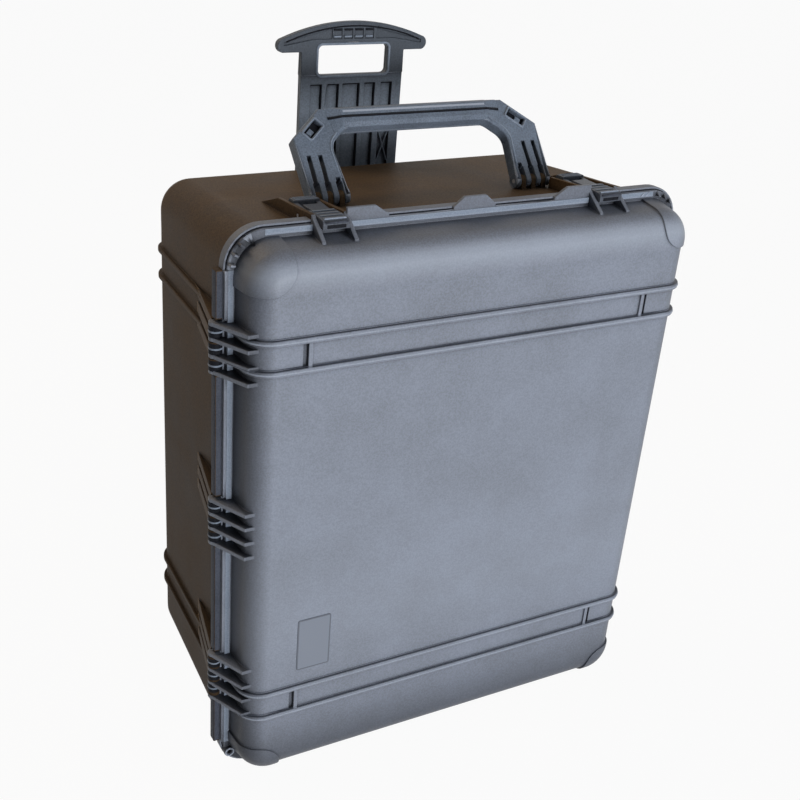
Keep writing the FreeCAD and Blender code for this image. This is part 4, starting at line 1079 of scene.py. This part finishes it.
@dataclass
class CarryHandle:
    """Leaned carry handle: its moulding, border beads, grip lines and underside, knee pockets and shoulders.

    All places are in the upright handle's millimetres: across from its middle, depth, and height.
    """

    node: str
    seat: Seat
    lean: float
    pivot_height: float
    pivot_y: float = -59.0
    half_thickness: float = 10.0
    border: tuple[Spot, ...] = ((142.2, 22.0), (147.2, 74.0), (121.0, 97.2))
    border_ease: float = 15.0
    border_radius: float = 1.3
    groove_height: float = 109.6
    groove_bends: tuple[Spot, ...] = ((138.5, -10.3), (116.8, -14.7))
    groove_radius: float = 1.9
    top_band_place: Point = (0.0, -14.4, 117.4)
    top_band_size: Point = (230.0, 1.3, 3.2)
    underside_reach: float = 115.0
    underside: tuple[Spot, ...] = ((-15.3, 102.6), (-15.3, 100.4), (-10.4, 95.5), (6.0, 95.5), (6.0, 97.0),
                                   (-13.0, 102.6))
    grip_round: float = 0.3
    pocket_centre: Spot = (164.6, 95.6)
    pocket_run: Spot = (-0.7603, 0.6495)
    floor_depth: float = 4.2
    floor_size: Point = (27.6, 0.5, 12.6)
    floor_round: float = 0.1
    shelf_depth: float = 5.88
    shelf_shift: float = 4.968
    shelf_size: Point = (8.832, 3.4, 7.812)
    shelf_round: float = 0.6
    frame_depth: float = 11.2
    frame_half: Spot = (16.0, 8.5)
    frame_corner: float = 2.5
    frame_steps: int = 4
    frame_radius: float = 1.1
    frame_sides: int = 6
    shoulder: tuple[Point, ...] = ((117.0, 15.0, 101.0), (117.0, 15.0, 121.0), (117.0, 10.0, 126.0),
                                   (117.0, 11.0, 96.6), (140.0, 10.4, 125.4), (134.0, 10.4, 84.0),
                                   (117.0, 8.0, 125.0), (117.0, 8.0, 97.0), (140.0, 8.0, 124.0),
                                   (134.0, 8.0, 85.0))
    shoulder_round: float = 0.8

    def place(self) -> Matrix:
        """Turn from the upright handle's millimetres to the case's metres."""
        return (METRES @ self.seat.value @ Matrix.Translation((0.0, self.pivot_y, self.pivot_height))
                @ Matrix.Rotation(-math.radians(self.lean), 4, "X"))

    def groove(self) -> bpy.types.Object:
        """Dark line along the grip's front, which bends back into the legs: painted shade in the groove."""
        right = [(across, depth, self.groove_height) for across, depth in self.groove_bends]
        left = [(-across, depth, rise) for across, depth, rise in right]
        return bead(self.node + "_groove", left + right[::-1], self.groove_radius, self.place())

    def top_band(self) -> bpy.types.Object:
        """Flat band along the grip's front, above the groove."""
        return slab(self.node + "_top_band", self.top_band_place, self.top_band_size, self.place(),
                    self.grip_round)

    def underside_block(self) -> bpy.types.Object:
        """Bevelled underside of the grip."""
        points = [(side * self.underside_reach, depth, rise) for side in (-1, 1)
                  for depth, rise in self.underside]
        return wrapped(self.node + "_underside", points, self.place(), self.grip_round)

    def pockets(self) -> tuple[bpy.types.Object, bpy.types.Object, bpy.types.Object]:
        """Floors of painted shade, pale shelves and beaded frames with a painted highlight, in the knee
        pockets.
        """
        floors, shelves, frames = [], [], []
        outline = round_corners(*self.frame_half, self.frame_corner, self.frame_steps)
        for side in (-1, 1):
            along = Vector((side * self.pocket_run[0], 0.0, self.pocket_run[1]))
            inward = along.cross((0.0, 1.0, 0.0))
            turn = Matrix((along, (0.0, 1.0, 0.0), inward)).transposed().to_4x4()
            centre = Vector((side * self.pocket_centre[0], 0.0, self.pocket_centre[1]))
            for face in (-1, 1):
                facing = Vector((0.0, face, 0.0))
                floors.append(slab("floor", centre + facing * self.floor_depth, self.floor_size, self.place(),
                                   self.floor_round, turn))
                shelf = centre + facing * self.shelf_depth - along * self.shelf_shift
                shelves.append(slab("shelf", shelf, self.shelf_size, self.place(), self.shelf_round, turn))
                corners = [centre + facing * self.frame_depth + along * across + inward * rise
                           for across, rise in outline]
                frames.append(bead("frame", corners, self.frame_radius, self.place(), True, self.frame_sides))
        return (joined(self.node + "_pocket_floors", floors), joined(self.node + "_pocket_shelves", shelves),
                joined(self.node + "_pocket_frames", frames))

    def beads(self) -> bpy.types.Object:
        """Pale border beads, a painted highlight, beside the inner edges, on both faces of both legs."""
        line = eased(self.border, self.border_ease)
        made = [bead("border", [(side * across, face * self.half_thickness, rise) for across, rise in line],
                     self.border_radius, self.place())
                for side in (-1, 1) for face in (-1, 1)]
        return joined(self.node + "_border", made)

    def shoulders(self) -> bpy.types.Object:
        """Slanted blocks that lead the grip's thickness into the legs."""
        made = []
        for side in (-1, 1):
            for face in (-1, 1):
                points = [(side * across, face * depth, rise) for across, depth, rise in self.shoulder]
                made.append(wrapped("shoulder", points, self.place(), self.shoulder_round))
        return joined(self.node + "_shoulders", made)

    def build(self) -> None:
        MouldedNode(self.node, self.node, "handle_plastic", Look.GRIP, SHELL_ROUND).build()
        groove, top_band, underside = self.groove(), self.top_band(), self.underside_block()
        floors, shelves, frames = self.pockets()
        dressed = ((self.beads(), Look.TRIM), (groove, Look.HOLLOW), (floors, Look.HOLLOW),
                   (underside, Look.GRIP), (top_band, Look.GRIP), (shelves, Look.GRIP), (frames, Look.TRIM),
                   (self.shoulders(), Look.GRIP))
        for piece, look in dressed:
            declare(dress(piece, look), self.node)


@dataclass
class Latch:
    """Draw latch: the mouldings of lever and hook with their pale bands of painted highlight, the hook's nose
    darker with painted shade, and painted shade in the claw hollow.
    """

    name: str
    seat: Seat
    offset: float
    moulding_round: float = 0.6 * MM
    band_first: Spot = (-176.0, 4.6)
    band_step: float = 11.0
    band_count: int = 4
    band_size: Point = (31.0, 3.4, 2.6)
    pull_first: Spot = (-92.0, 6.1)
    pull_step: float = 4.6
    pull_count: int = 3
    pull_size: Point = (31.0, 1.8, 1.4)
    row_round: float = 0.5
    nose: Spot = (-182.0, 1.2)
    nose_half: float = 15.5
    nose_radius: float = 1.5
    hollow: Spot = (-182.1, -4.2)
    hollow_size: Point = (26.35, 0.7, 4.6)
    hollow_round: float = 0.2

    def build(self) -> None:
        place = METRES @ self.seat.value
        lever, hook = "lever_" + self.name, "hook_" + self.name
        for body in (lever, hook):
            MouldedNode("latch_" + body, body, "latch_plastic", Look.LATCH, self.moulding_round).build()
        # Pale bands and pull lines: painted highlight
        rows = ((hook, "bands", self.band_first, self.band_step, self.band_count, self.band_size),
                (lever, "pull_lines", self.pull_first, self.pull_step, self.pull_count, self.pull_size))
        for body, part, first, step, count, size in rows:
            row = grown(f"{body}_{part}", TREES["bar_row"], Look.TRIM, place, self.row_round, Count=count,
                        First=(self.offset, *first), Step=(0.0, step, 0.0), Size=size)
            declare(row, body)
        # The hook's nose, darker with painted shade
        ends = [(self.offset + side * self.nose_half, *self.nose) for side in (-1, 1)]
        nose = bead(hook + "_nose", ends, self.nose_radius, place)
        declare(dress(nose, Look.GROOVE), hook)
        # Slab of painted shade in the claw hollow
        hollow = slab(hook + "_hollow", (self.offset, *self.hollow), self.hollow_size, place,
                      self.hollow_round)
        declare(dress(hollow, Look.HOLLOW), hook)


@dataclass
class LidMoulding:
    """Lid's moulding, with the right corner of its flange left smooth and two slanted pale marks on it, a
    painted highlight.
    """

    corner: Spot = (303.0, 797.0)
    inner_reach: float = 42.2
    mark_places: tuple[Spot, ...] = ((284.0, 841.2), (292.0, 840.6))
    mark_size: Point = (9.0, 3.4, 1.8)
    mark_turn: float = 42.0
    mark_round: float = 0.6

    def smoothed(self) -> bpy.types.Object:
        """Copy of the lid with the right corner's small ribs pressed into the flange."""
        piece = cleaned_copy("lid_shell", "lid_shell_moulding")
        for point in piece.data.vertices:
            across, rise = point.co.x / MM - self.corner[0], point.co.z / MM - self.corner[1]
            if across > 0 and rise > 0 and math.hypot(across, rise) > self.inner_reach:
                point.co.y = max(point.co.y, FLANGE_Y * MM)
        merge_points(piece.data, PRESSED_GAP)
        return rounded(piece, SHELL_ROUND)

    def build(self) -> None:
        declare(dress(self.smoothed(), Look.LID), "lid", ("lid_shell",))
        turn = Matrix.Rotation(-math.radians(self.mark_turn), 4, "Y")
        marks = [slab("mark", (across, FLANGE_Y, rise), self.mark_size, METRES, self.mark_round, turn)
                 for across, rise in self.mark_places]
        declare(dress(joined("lid_corner_mark_highlights", marks), Look.CREST_HIGHLIGHT), "lid")


@dataclass
class LidTrim:
    """Lines on the lid: pale ridge crests and thin dark lines beside them, flange bars and the boss ring; the
    pale ones are painted highlight, the dark ones painted shadow.
    """

    ridge_heights: tuple[float, ...] = (717.5, 676.5, 172.5, 131.5)
    back: float = -168.0
    crest_radius: float = 1.5
    crest_inset: float = 0.8
    shadow_line_rise: float = 5.6
    shadow_line_radius: float = 0.5
    shadow_line_inset: float = 0.25
    shadow_line_sides: int = 6
    flange_half: Spot = (351.5, 421.0)
    bar_inset: float = 4.0
    bar_width: float = 6.6
    bar_depth: float = 1.4
    bar_round: float = 0.4
    line_inset: float = 7.6
    line_radius: float = 1.0
    boss: Point = (-343.0, -171.2, 34.0)
    boss_radius: float = 6.4
    boss_steps: int = 32
    boss_bead: float = 1.3

    def crests(self) -> bpy.types.Object:
        """Pale beads along the ridges' crests: painted highlight."""
        made = [bead("crest", front_outline("lid_shell", height * MM, self.back * MM, self.crest_inset * MM),
                     self.crest_radius * MM, Matrix()) for height in self.ridge_heights]
        return joined("lid_ridge_crests", made)

    def steps(self) -> bpy.types.Object:
        """Thin dark lines just above the ridges: painted shadow."""
        made = []
        for height in self.ridge_heights:
            line = front_outline("lid_shell", (height + self.shadow_line_rise) * MM, self.back * MM,
                                 self.shadow_line_inset * MM)
            made.append(bead("step", line, self.shadow_line_radius * MM, Matrix(), sides=self.shadow_line_sides))
        return joined("lid_ridge_shadow_lines", made)

    def flange_bars(self) -> bpy.types.Object:
        """Flat pale bars with a bead beside them, along the flange's straight sides: painted highlight."""
        made = []
        middle = Vector((0.0, 0.0, MIDDLE_Z))
        for lying, (reach, other) in enumerate((self.flange_half, self.flange_half[::-1])):
            half_length = other - FLANGE_CORNER
            for side in (-1, 1):
                bar = Vector((side * (reach - self.bar_inset), FLANGE_Y, 0.0))
                size = (self.bar_width, self.bar_depth, 2 * half_length)
                ends = [Vector((side * (reach - self.line_inset), FLANGE_Y, end * half_length))
                        for end in (-1, 1)]
                if lying:
                    bar, ends = bar.zyx, [end.zyx for end in ends]
                    size = size[::-1]
                made.append(slab("bar", bar + middle, size, METRES, self.bar_round))
                made.append(bead("line", [end + middle for end in ends], self.line_radius, METRES))
        return joined("lid_flange_bars", made)

    def boss_ring(self) -> bpy.types.Object:
        """Rounded rim of the boss at the low corner, pale with a painted highlight."""
        turns = [2 * math.pi * number / self.boss_steps for number in range(self.boss_steps)]
        centre_x, depth, centre_z = self.boss
        ring = [(centre_x + self.boss_radius * math.cos(turn), depth,
                 centre_z + self.boss_radius * math.sin(turn)) for turn in turns]
        return bead("lid_boss_ring", ring, self.boss_bead, METRES, True)

    def build(self) -> None:
        for piece, look in ((self.crests(), Look.CREST_HIGHLIGHT), (self.steps(), Look.GROOVE),
                            (self.flange_bars(), Look.TRIM), (self.boss_ring(), Look.CREST_HIGHLIGHT)):
            declare(dress(piece, look), "lid")


@dataclass
class BaseTrim:
    """Base's seam line, lip and lip strips, and the sleeves and bushings in its hinges; the seam, strips and
    sleeves are painted shade, the lip and bushings painted highlight.
    """

    seam_half: Spot = (352.0, 421.5)
    seam_y: float = -160.0
    seam_radius: float = 0.9
    lip_half: Spot = (355.5, 425.0)
    lip_wall: float = 3.3
    lip_corner: float = 52.5
    lip_span: tuple[float, float] = (-160.4, -145.8)
    lip_round: float = 0.8
    strip_spans: tuple[tuple[float, float], ...] = ((732.5, 796.3), (478.5, 655.5), (220.5, 400.0),
                                                    (52.7, 132.5))
    strip_place: Spot = (-358.4, -152.85)
    strip_size: Spot = (12.8, 14.3)
    strip_round: float = 2.0
    hinge_axis: Spot = (-362.0, -154.0)
    hinge_tops: tuple[float, ...] = (291.8, 37.5, -223.5)
    hinge_step: float = -23.0
    hinge_count: int = 3
    sleeve_radius: float = 9.2
    sleeve_depth: float = 15.0
    sleeve_round: float = 0.3
    bushing_radius: float = 9.6
    bushing_depth: float = 2.6
    bushing_round: float = 0.5

    def seam(self) -> bpy.types.Object:
        """Dark line where the halves meet: painted shade in the gap."""
        line = [(across, self.seam_y, MIDDLE_Z + rise) for across, rise in
                round_corners(*self.seam_half, FLANGE_CORNER)]
        return bead("base_seam_line", line, self.seam_radius, METRES, True)

    def lip(self) -> bpy.types.Object:
        """Pale band round the rim: painted highlight."""
        lines = [round_corners(self.lip_half[0] - inset, self.lip_half[1] - inset, self.lip_corner - inset)
                 for inset in (0.0, self.lip_wall)]
        return band("base_lip", lines[0], lines[1], self.lip_span, self.lip_round)

    def strips(self) -> bpy.types.Object:
        """Thicker strips of the lip between the hinges, darker with painted shade."""
        made = [slab("strip", (*self.strip_place, (low + high) / 2), (*self.strip_size, high - low), METRES,
                     self.strip_round) for low, high in self.strip_spans]
        return joined("base_lip_strips", made)

    def build(self) -> None:
        for piece, look in ((self.seam(), Look.HOLLOW), (self.lip(), Look.LIP), (self.strips(), Look.GROOVE)):
            declare(dress(piece, look), "base")
        # Hinge sleeves of painted shade, and pale bushings with a painted highlight
        kinds = (("hinge_sleeves", Look.HOLLOW, self.sleeve_round, self.sleeve_radius, self.sleeve_depth),
                 ("hinge_bushings", Look.TRIM, self.bushing_round, self.bushing_radius, self.bushing_depth))
        for number, top in enumerate(self.hinge_tops):
            for kind, look, width, radius, depth in kinds:
                row = grown(f"{kind}_{number}", TREES["collar_row"], look, METRES, width,
                            Count=self.hinge_count, First=(*self.hinge_axis, MIDDLE_Z + top),
                            Step=(0.0, 0.0, self.hinge_step), Radius=radius, Depth=depth)
                declare(row, "base")


@dataclass
class Trolley:
    """Pull-out trolley: mouldings, window rim and grip notches pale with a painted highlight, and painted
    shade in the arch line, on the pockets' walls and on the notches' tops.
    """

    face_y: float = 200.6
    rim_half_width: float = 61.6
    rim_low: float = 951.6
    rim_high: float = 999.0
    rim_round: float = 8.0
    rim_radius: float = 1.9
    arch_centre: float = 711.7
    arch_radius: float = 312.8
    arch_reach: float = 113.0
    arch_steps: int = 40
    arch_bead: float = 1.2
    notch_first: Point = (-28.5, 201.2, 1009.4)
    notch_top_first: Point = (-28.5, 201.0, 1019.0)
    notch_step: float = 18.0
    notch_count: int = 4
    notch_size: Point = (12.0, 2.2, 2.4)
    notch_round: float = 0.5
    notch_top_round: float = 0.3
    pocket_columns: tuple[Spot, ...] = ((-71.0, -51.0), (-42.0, -22.0), (-16.0, 14.0), (22.0, 41.0),
                                        (51.0, 71.0))
    pocket_ends: tuple[float, float] = (510.0, 940.0)
    pocket_depths: tuple[float, float] = (201.1, 206.0)
    shade_strip: float = 1.6
    shade_strip_round: float = 0.2

    def pocket_shade_strips(self) -> bpy.types.Object:
        """Strips of painted shade along the right and top walls of the blade's pockets."""
        low, top = self.pocket_ends
        near, far = self.pocket_depths
        depth, half = (near + far) / 2, self.shade_strip / 2
        made = []
        for left, right in self.pocket_columns:
            made.append(slab("shade_strip", (right - half, depth, (low + top) / 2),
                             (self.shade_strip, far - near, top - low), METRES, self.shade_strip_round))
            made.append(slab("shade_strip", ((left + right) / 2, depth, top - half),
                             (right - left, far - near, self.shade_strip), METRES, self.shade_strip_round))
        return joined("trolley_pocket_shade", made)

    def window_rim(self) -> bpy.types.Object:
        """Pale bead round the grip's window, a painted highlight."""
        middle = (self.rim_low + self.rim_high) / 2
        line = round_corners(self.rim_half_width, (self.rim_high - self.rim_low) / 2, self.rim_round)
        return bead("trolley_window_rim", [(across, self.face_y, middle + rise) for across, rise in line],
                    self.rim_radius, METRES, True)

    def arch_line(self) -> bpy.types.Object:
        """Dark line under the grip's arched top: painted shade in its recess."""
        shares = [2 * number / self.arch_steps - 1 for number in range(self.arch_steps + 1)]
        reaches = [self.arch_reach * share for share in shares]
        line = [(across, self.face_y, self.arch_centre + math.sqrt(self.arch_radius ** 2 - across ** 2))
                for across in reaches]
        return bead("trolley_arch_line", line, self.arch_bead, METRES)

    def build(self) -> None:
        for node in ("trolley_front", "trolley_back"):
            MouldedNode(node, "trolley", "handle_plastic", Look.BLADE).build()
        for piece, look in ((self.window_rim(), Look.TRIM), (self.arch_line(), Look.HOLLOW),
                            (self.pocket_shade_strips(), Look.HOLLOW)):
            declare(dress(piece, look), "trolley")
        # Notch tops of painted shade, and pale notches with a painted highlight
        rows = (("trolley_grip_notch_tops", Look.HOLLOW, self.notch_top_round, self.notch_top_first),
                ("trolley_grip_notches", Look.TRIM, self.notch_round, self.notch_first))
        for name, look, width, first in rows:
            row = grown(name, TREES["bar_row"], look, METRES, width, Count=self.notch_count, First=first,
                        Step=(self.notch_step, 0.0, 0.0), Size=self.notch_size)
            declare(row, "trolley")


@dataclass
class Wheel:
    """Wheel: tread blocks on its tyre and ribs on its hub."""

    side: str
    place_x: float
    axis: Spot = (188.0, 40.0)
    tread_count: int = 36
    tread_radius: float = 39.7
    tread_size: Point = (1.4, 3.6, 25.0)
    rib_count: int = 12
    rib_radius: float = 20.0
    rib_size: Point = (9.0, 1.8, 26.0)
    block_round: float = 0.4

    def build(self) -> None:
        body = "wheel_" + self.side
        place = METRES @ Matrix.Translation((self.place_x, *self.axis)) @ Matrix.Rotation(math.pi / 2, 4, "Y")
        tread = grown(body + "_tread", TREES["bar_ring"], Look.TYRE, place, self.block_round,
                      Count=self.tread_count, Radius=self.tread_radius, Size=self.tread_size)
        declare(tread, body)
        ribs = grown(body + "_ribs", TREES["bar_ring"], Look.WHEEL, place, self.block_round,
                     Count=self.rib_count, Radius=self.rib_radius, Size=self.rib_size)
        declare(ribs, body)


# Studio


@dataclass
class Studio:
    """Camera at the photograph's place, pale floor and soft lamps."""

    camera_place: Point = (-0.8504, -1.3984, 1.2613)
    azimuth: float = 0.482
    elevation: float = 0.463
    roll: float = 0.053
    focal_pixels: float = 1145.2
    centre_pixels: Spot = (326.1, 420.9)
    image_pixels: float = 800.0
    sensor: float = 36.0
    clip: tuple[float, float] = (0.05, 60.0)
    aim: Point = (0.0, 0.0, 0.45)
    cool: Colour = (0.97, 0.985, 1.0)
    warm: Colour = (1.0, 0.80, 0.58)
    ambient: float = 0.045
    floor_reach: float = 14.0
    floor_pale: Colour = (0.56, 0.56, 0.56)
    floor_dull: Colour = (0.50, 0.50, 0.50)
    floor_cells: float = 1.4
    floor_cloud_share: float = 0.2
    floor_white_share: float = 0.95

    def camera(self) -> None:
        """Place the camera with its turn, lens and shift."""
        data = bpy.data.cameras.new("camera")
        data.sensor_width = self.sensor
        data.lens = self.focal_pixels * self.sensor / self.image_pixels
        half = self.image_pixels / 2
        data.shift_x = (half - self.centre_pixels[0]) / self.image_pixels
        data.shift_y = (self.centre_pixels[1] - half) / self.image_pixels
        data.clip_start, data.clip_end = self.clip
        flat = math.cos(self.elevation)
        ahead = Vector((math.sin(self.azimuth) * flat, math.cos(self.azimuth) * flat,
                        -math.sin(self.elevation)))
        right = Vector((math.cos(self.azimuth), -math.sin(self.azimuth), 0.0))
        upward = right.cross(ahead)
        turn_cos, turn_sin = math.cos(self.roll), math.sin(self.roll)
        rolled_right = right * turn_cos + upward * turn_sin
        rolled_up = upward * turn_cos - right * turn_sin
        turn = Matrix((rolled_right, rolled_up, -ahead)).transposed()
        camera = bpy.data.objects.new("camera", data)
        camera.matrix_world = Matrix.Translation(self.camera_place) @ turn.to_4x4()
        bpy.context.scene.collection.objects.link(camera)
        bpy.context.scene.camera = camera

    @staticmethod
    def lamp(name: str, place: Point, aim: Point, power: float, size: float, colour: Colour) -> None:
        """Hang one soft area lamp.

        Args:
            name: name of the lamp.
            place: where it hangs.
            aim: point that it faces.
            power: its power in watts.
            size: side of its square.
            colour: its tint.
        """
        data = bpy.data.lights.new(name, "AREA")
        data.energy = power
        data.size = size
        data.color = colour
        lamp = bpy.data.objects.new(name, data)
        facing = (Vector(aim) - Vector(place)).to_track_quat("-Z", "Y")
        lamp.matrix_world = Matrix.Translation(place) @ facing.to_matrix().to_4x4()
        bpy.context.scene.collection.objects.link(lamp)

    @staticmethod
    def seen(graph: Graph) -> Value:
        """One where the camera, a gloss or a clear piece looks, and nought for the light itself."""
        path = graph.node("ShaderNodeLightPath")
        camera, gloss, clear = [Value(graph, path.outputs[kind])
                                for kind in ("Is Camera Ray", "Is Glossy Ray", "Is Transmission Ray")]
        return camera.at_least(gloss).at_least(clear)

    def world(self) -> None:
        """Even light for the object, and a white background for what sees it."""
        world = bpy.data.worlds.new("studio")
        bpy.context.scene.world = world
        world.use_nodes = True
        graph = Graph(world.node_tree)
        strength = self.seen(graph) * (1.0 - self.ambient) + self.ambient
        ground = graph.add("ShaderNodeBackground", None, {"Color": rgba(WHITE), "Strength": strength})
        graph.node("ShaderNodeOutputWorld", None, {"Surface": ground})

    def floor(self) -> None:
        """Lay the pale floor, which keeps the object's shadow."""
        reach = self.floor_reach
        corners = [(-reach, -reach, 0.0), (reach, -reach, 0.0), (reach, reach, 0.0), (-reach, reach, 0.0)]
        mesh = bpy.data.meshes.new("floor")
        mesh.from_pydata(corners, [], [(0, 1, 2, 3)])
        floor = link("floor", mesh)
        material, graph, place = material_graph("pale_floor")
        cloud = graph.noise(place, self.floor_cells, detail=3.0)
        colour = graph.mix(cloud * self.floor_cloud_share, rgba(self.floor_pale), rgba(self.floor_dull))
        matt = graph.add("ShaderNodeBsdfPrincipled", None,
                         {"Base Color": colour, "Roughness": 0.85, "Specular IOR Level": 0.1})
        white = graph.add("ShaderNodeEmission", None, {"Color": rgba(WHITE), "Strength": 1.0})
        shown = graph.add("ShaderNodeMixShader", None,
                          {0: self.seen(graph) * self.floor_white_share, 1: matt, 2: white})
        graph.node("ShaderNodeOutputMaterial", None, {"Surface": shown})
        mesh.materials.append(material)

    def build(self) -> None:
        """Set the view transform, camera, lamps, world and floor."""
        bpy.context.scene.view_settings.view_transform = "Standard"
        self.camera()
        self.lamp("key", (0.3, -3.9, 0.1), self.aim, power=206.0, size=1.9, colour=self.cool)
        self.lamp("brow", (1.2, -1.4, 2.25), (-0.1, -0.2, 0.8), power=7.0, size=0.6, colour=self.cool)
        self.lamp("warm", (-1.2, 1.6, 2.9), self.aim, power=34.0, size=1.5, colour=self.warm)
        self.world()
        self.floor()


def plain_nodes() -> None:
    """Dress the CAD nodes that are shown as they are."""
    looks = {"hinge_pins": Look.STEEL, "wheel_axles": Look.STEEL, "latch_lever_pins": Look.STEEL,
             "top_handle_pins": Look.STEEL, "side_handle_pins": Look.STEEL, "channel_screws": Look.STEEL,
             "trolley_screws": Look.STEEL, "trolley_shoes": Look.WHEEL, "lid_seal": Look.SEAL,
             "valve_seal": Look.SEAL, "pressure_valve": Look.LATCH}
    for node, look in looks.items():
        dress_node(node, look)
    kinds = {"tyre": Look.TYRE, "hub": Look.WHEEL, "bearings": Look.STEEL, "latch_hook_pin": Look.STEEL}
    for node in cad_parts:
        for start, look in kinds.items():
            if node.startswith(start):
                dress_node(node, look)


def label_plate() -> None:
    """Dress the blank plate low on the lid."""
    low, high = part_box("label_plate")
    film = PlateFinish("label_film", field_colour=from_display(130, 137, 150),
                       border_colour=from_display(100, 106, 118), low=tuple(low), high=tuple(high))
    dress_node("label_plate", film)


def main() -> None:
    """Build the whole scene."""
    Studio().build()
    LidMoulding().build()
    MouldedNode("base_shell", "base", "shell_plastic", Look.BASE, SHELL_ROUND).build()
    LidTrim().build()
    BaseTrim().build()
    CarryHandle("top_handle", Seat.TOP, lean=41.0, pivot_height=-5.0).build()
    CarryHandle("side_handle", Seat.SIDE, lean=90.0, pivot_height=1.0).build()
    MouldedNode("trolley_channel", "base", "handle_plastic", Look.BLADE).build()
    Trolley().build()
    for name, seat, offset in (("top_left", Seat.TOP, -213.4), ("top_right", Seat.TOP, 213.4),
                               ("side_upper", Seat.SIDE, -272.5), ("side_lower", Seat.SIDE, 272.5)):
        Latch(name, seat, offset).build()
    for side, place_x in (("left", -266.0), ("right", 266.0)):
        Wheel(side, place_x).build()
    plain_nodes()
    label_plate()


if __name__ == "__main__":
    main()
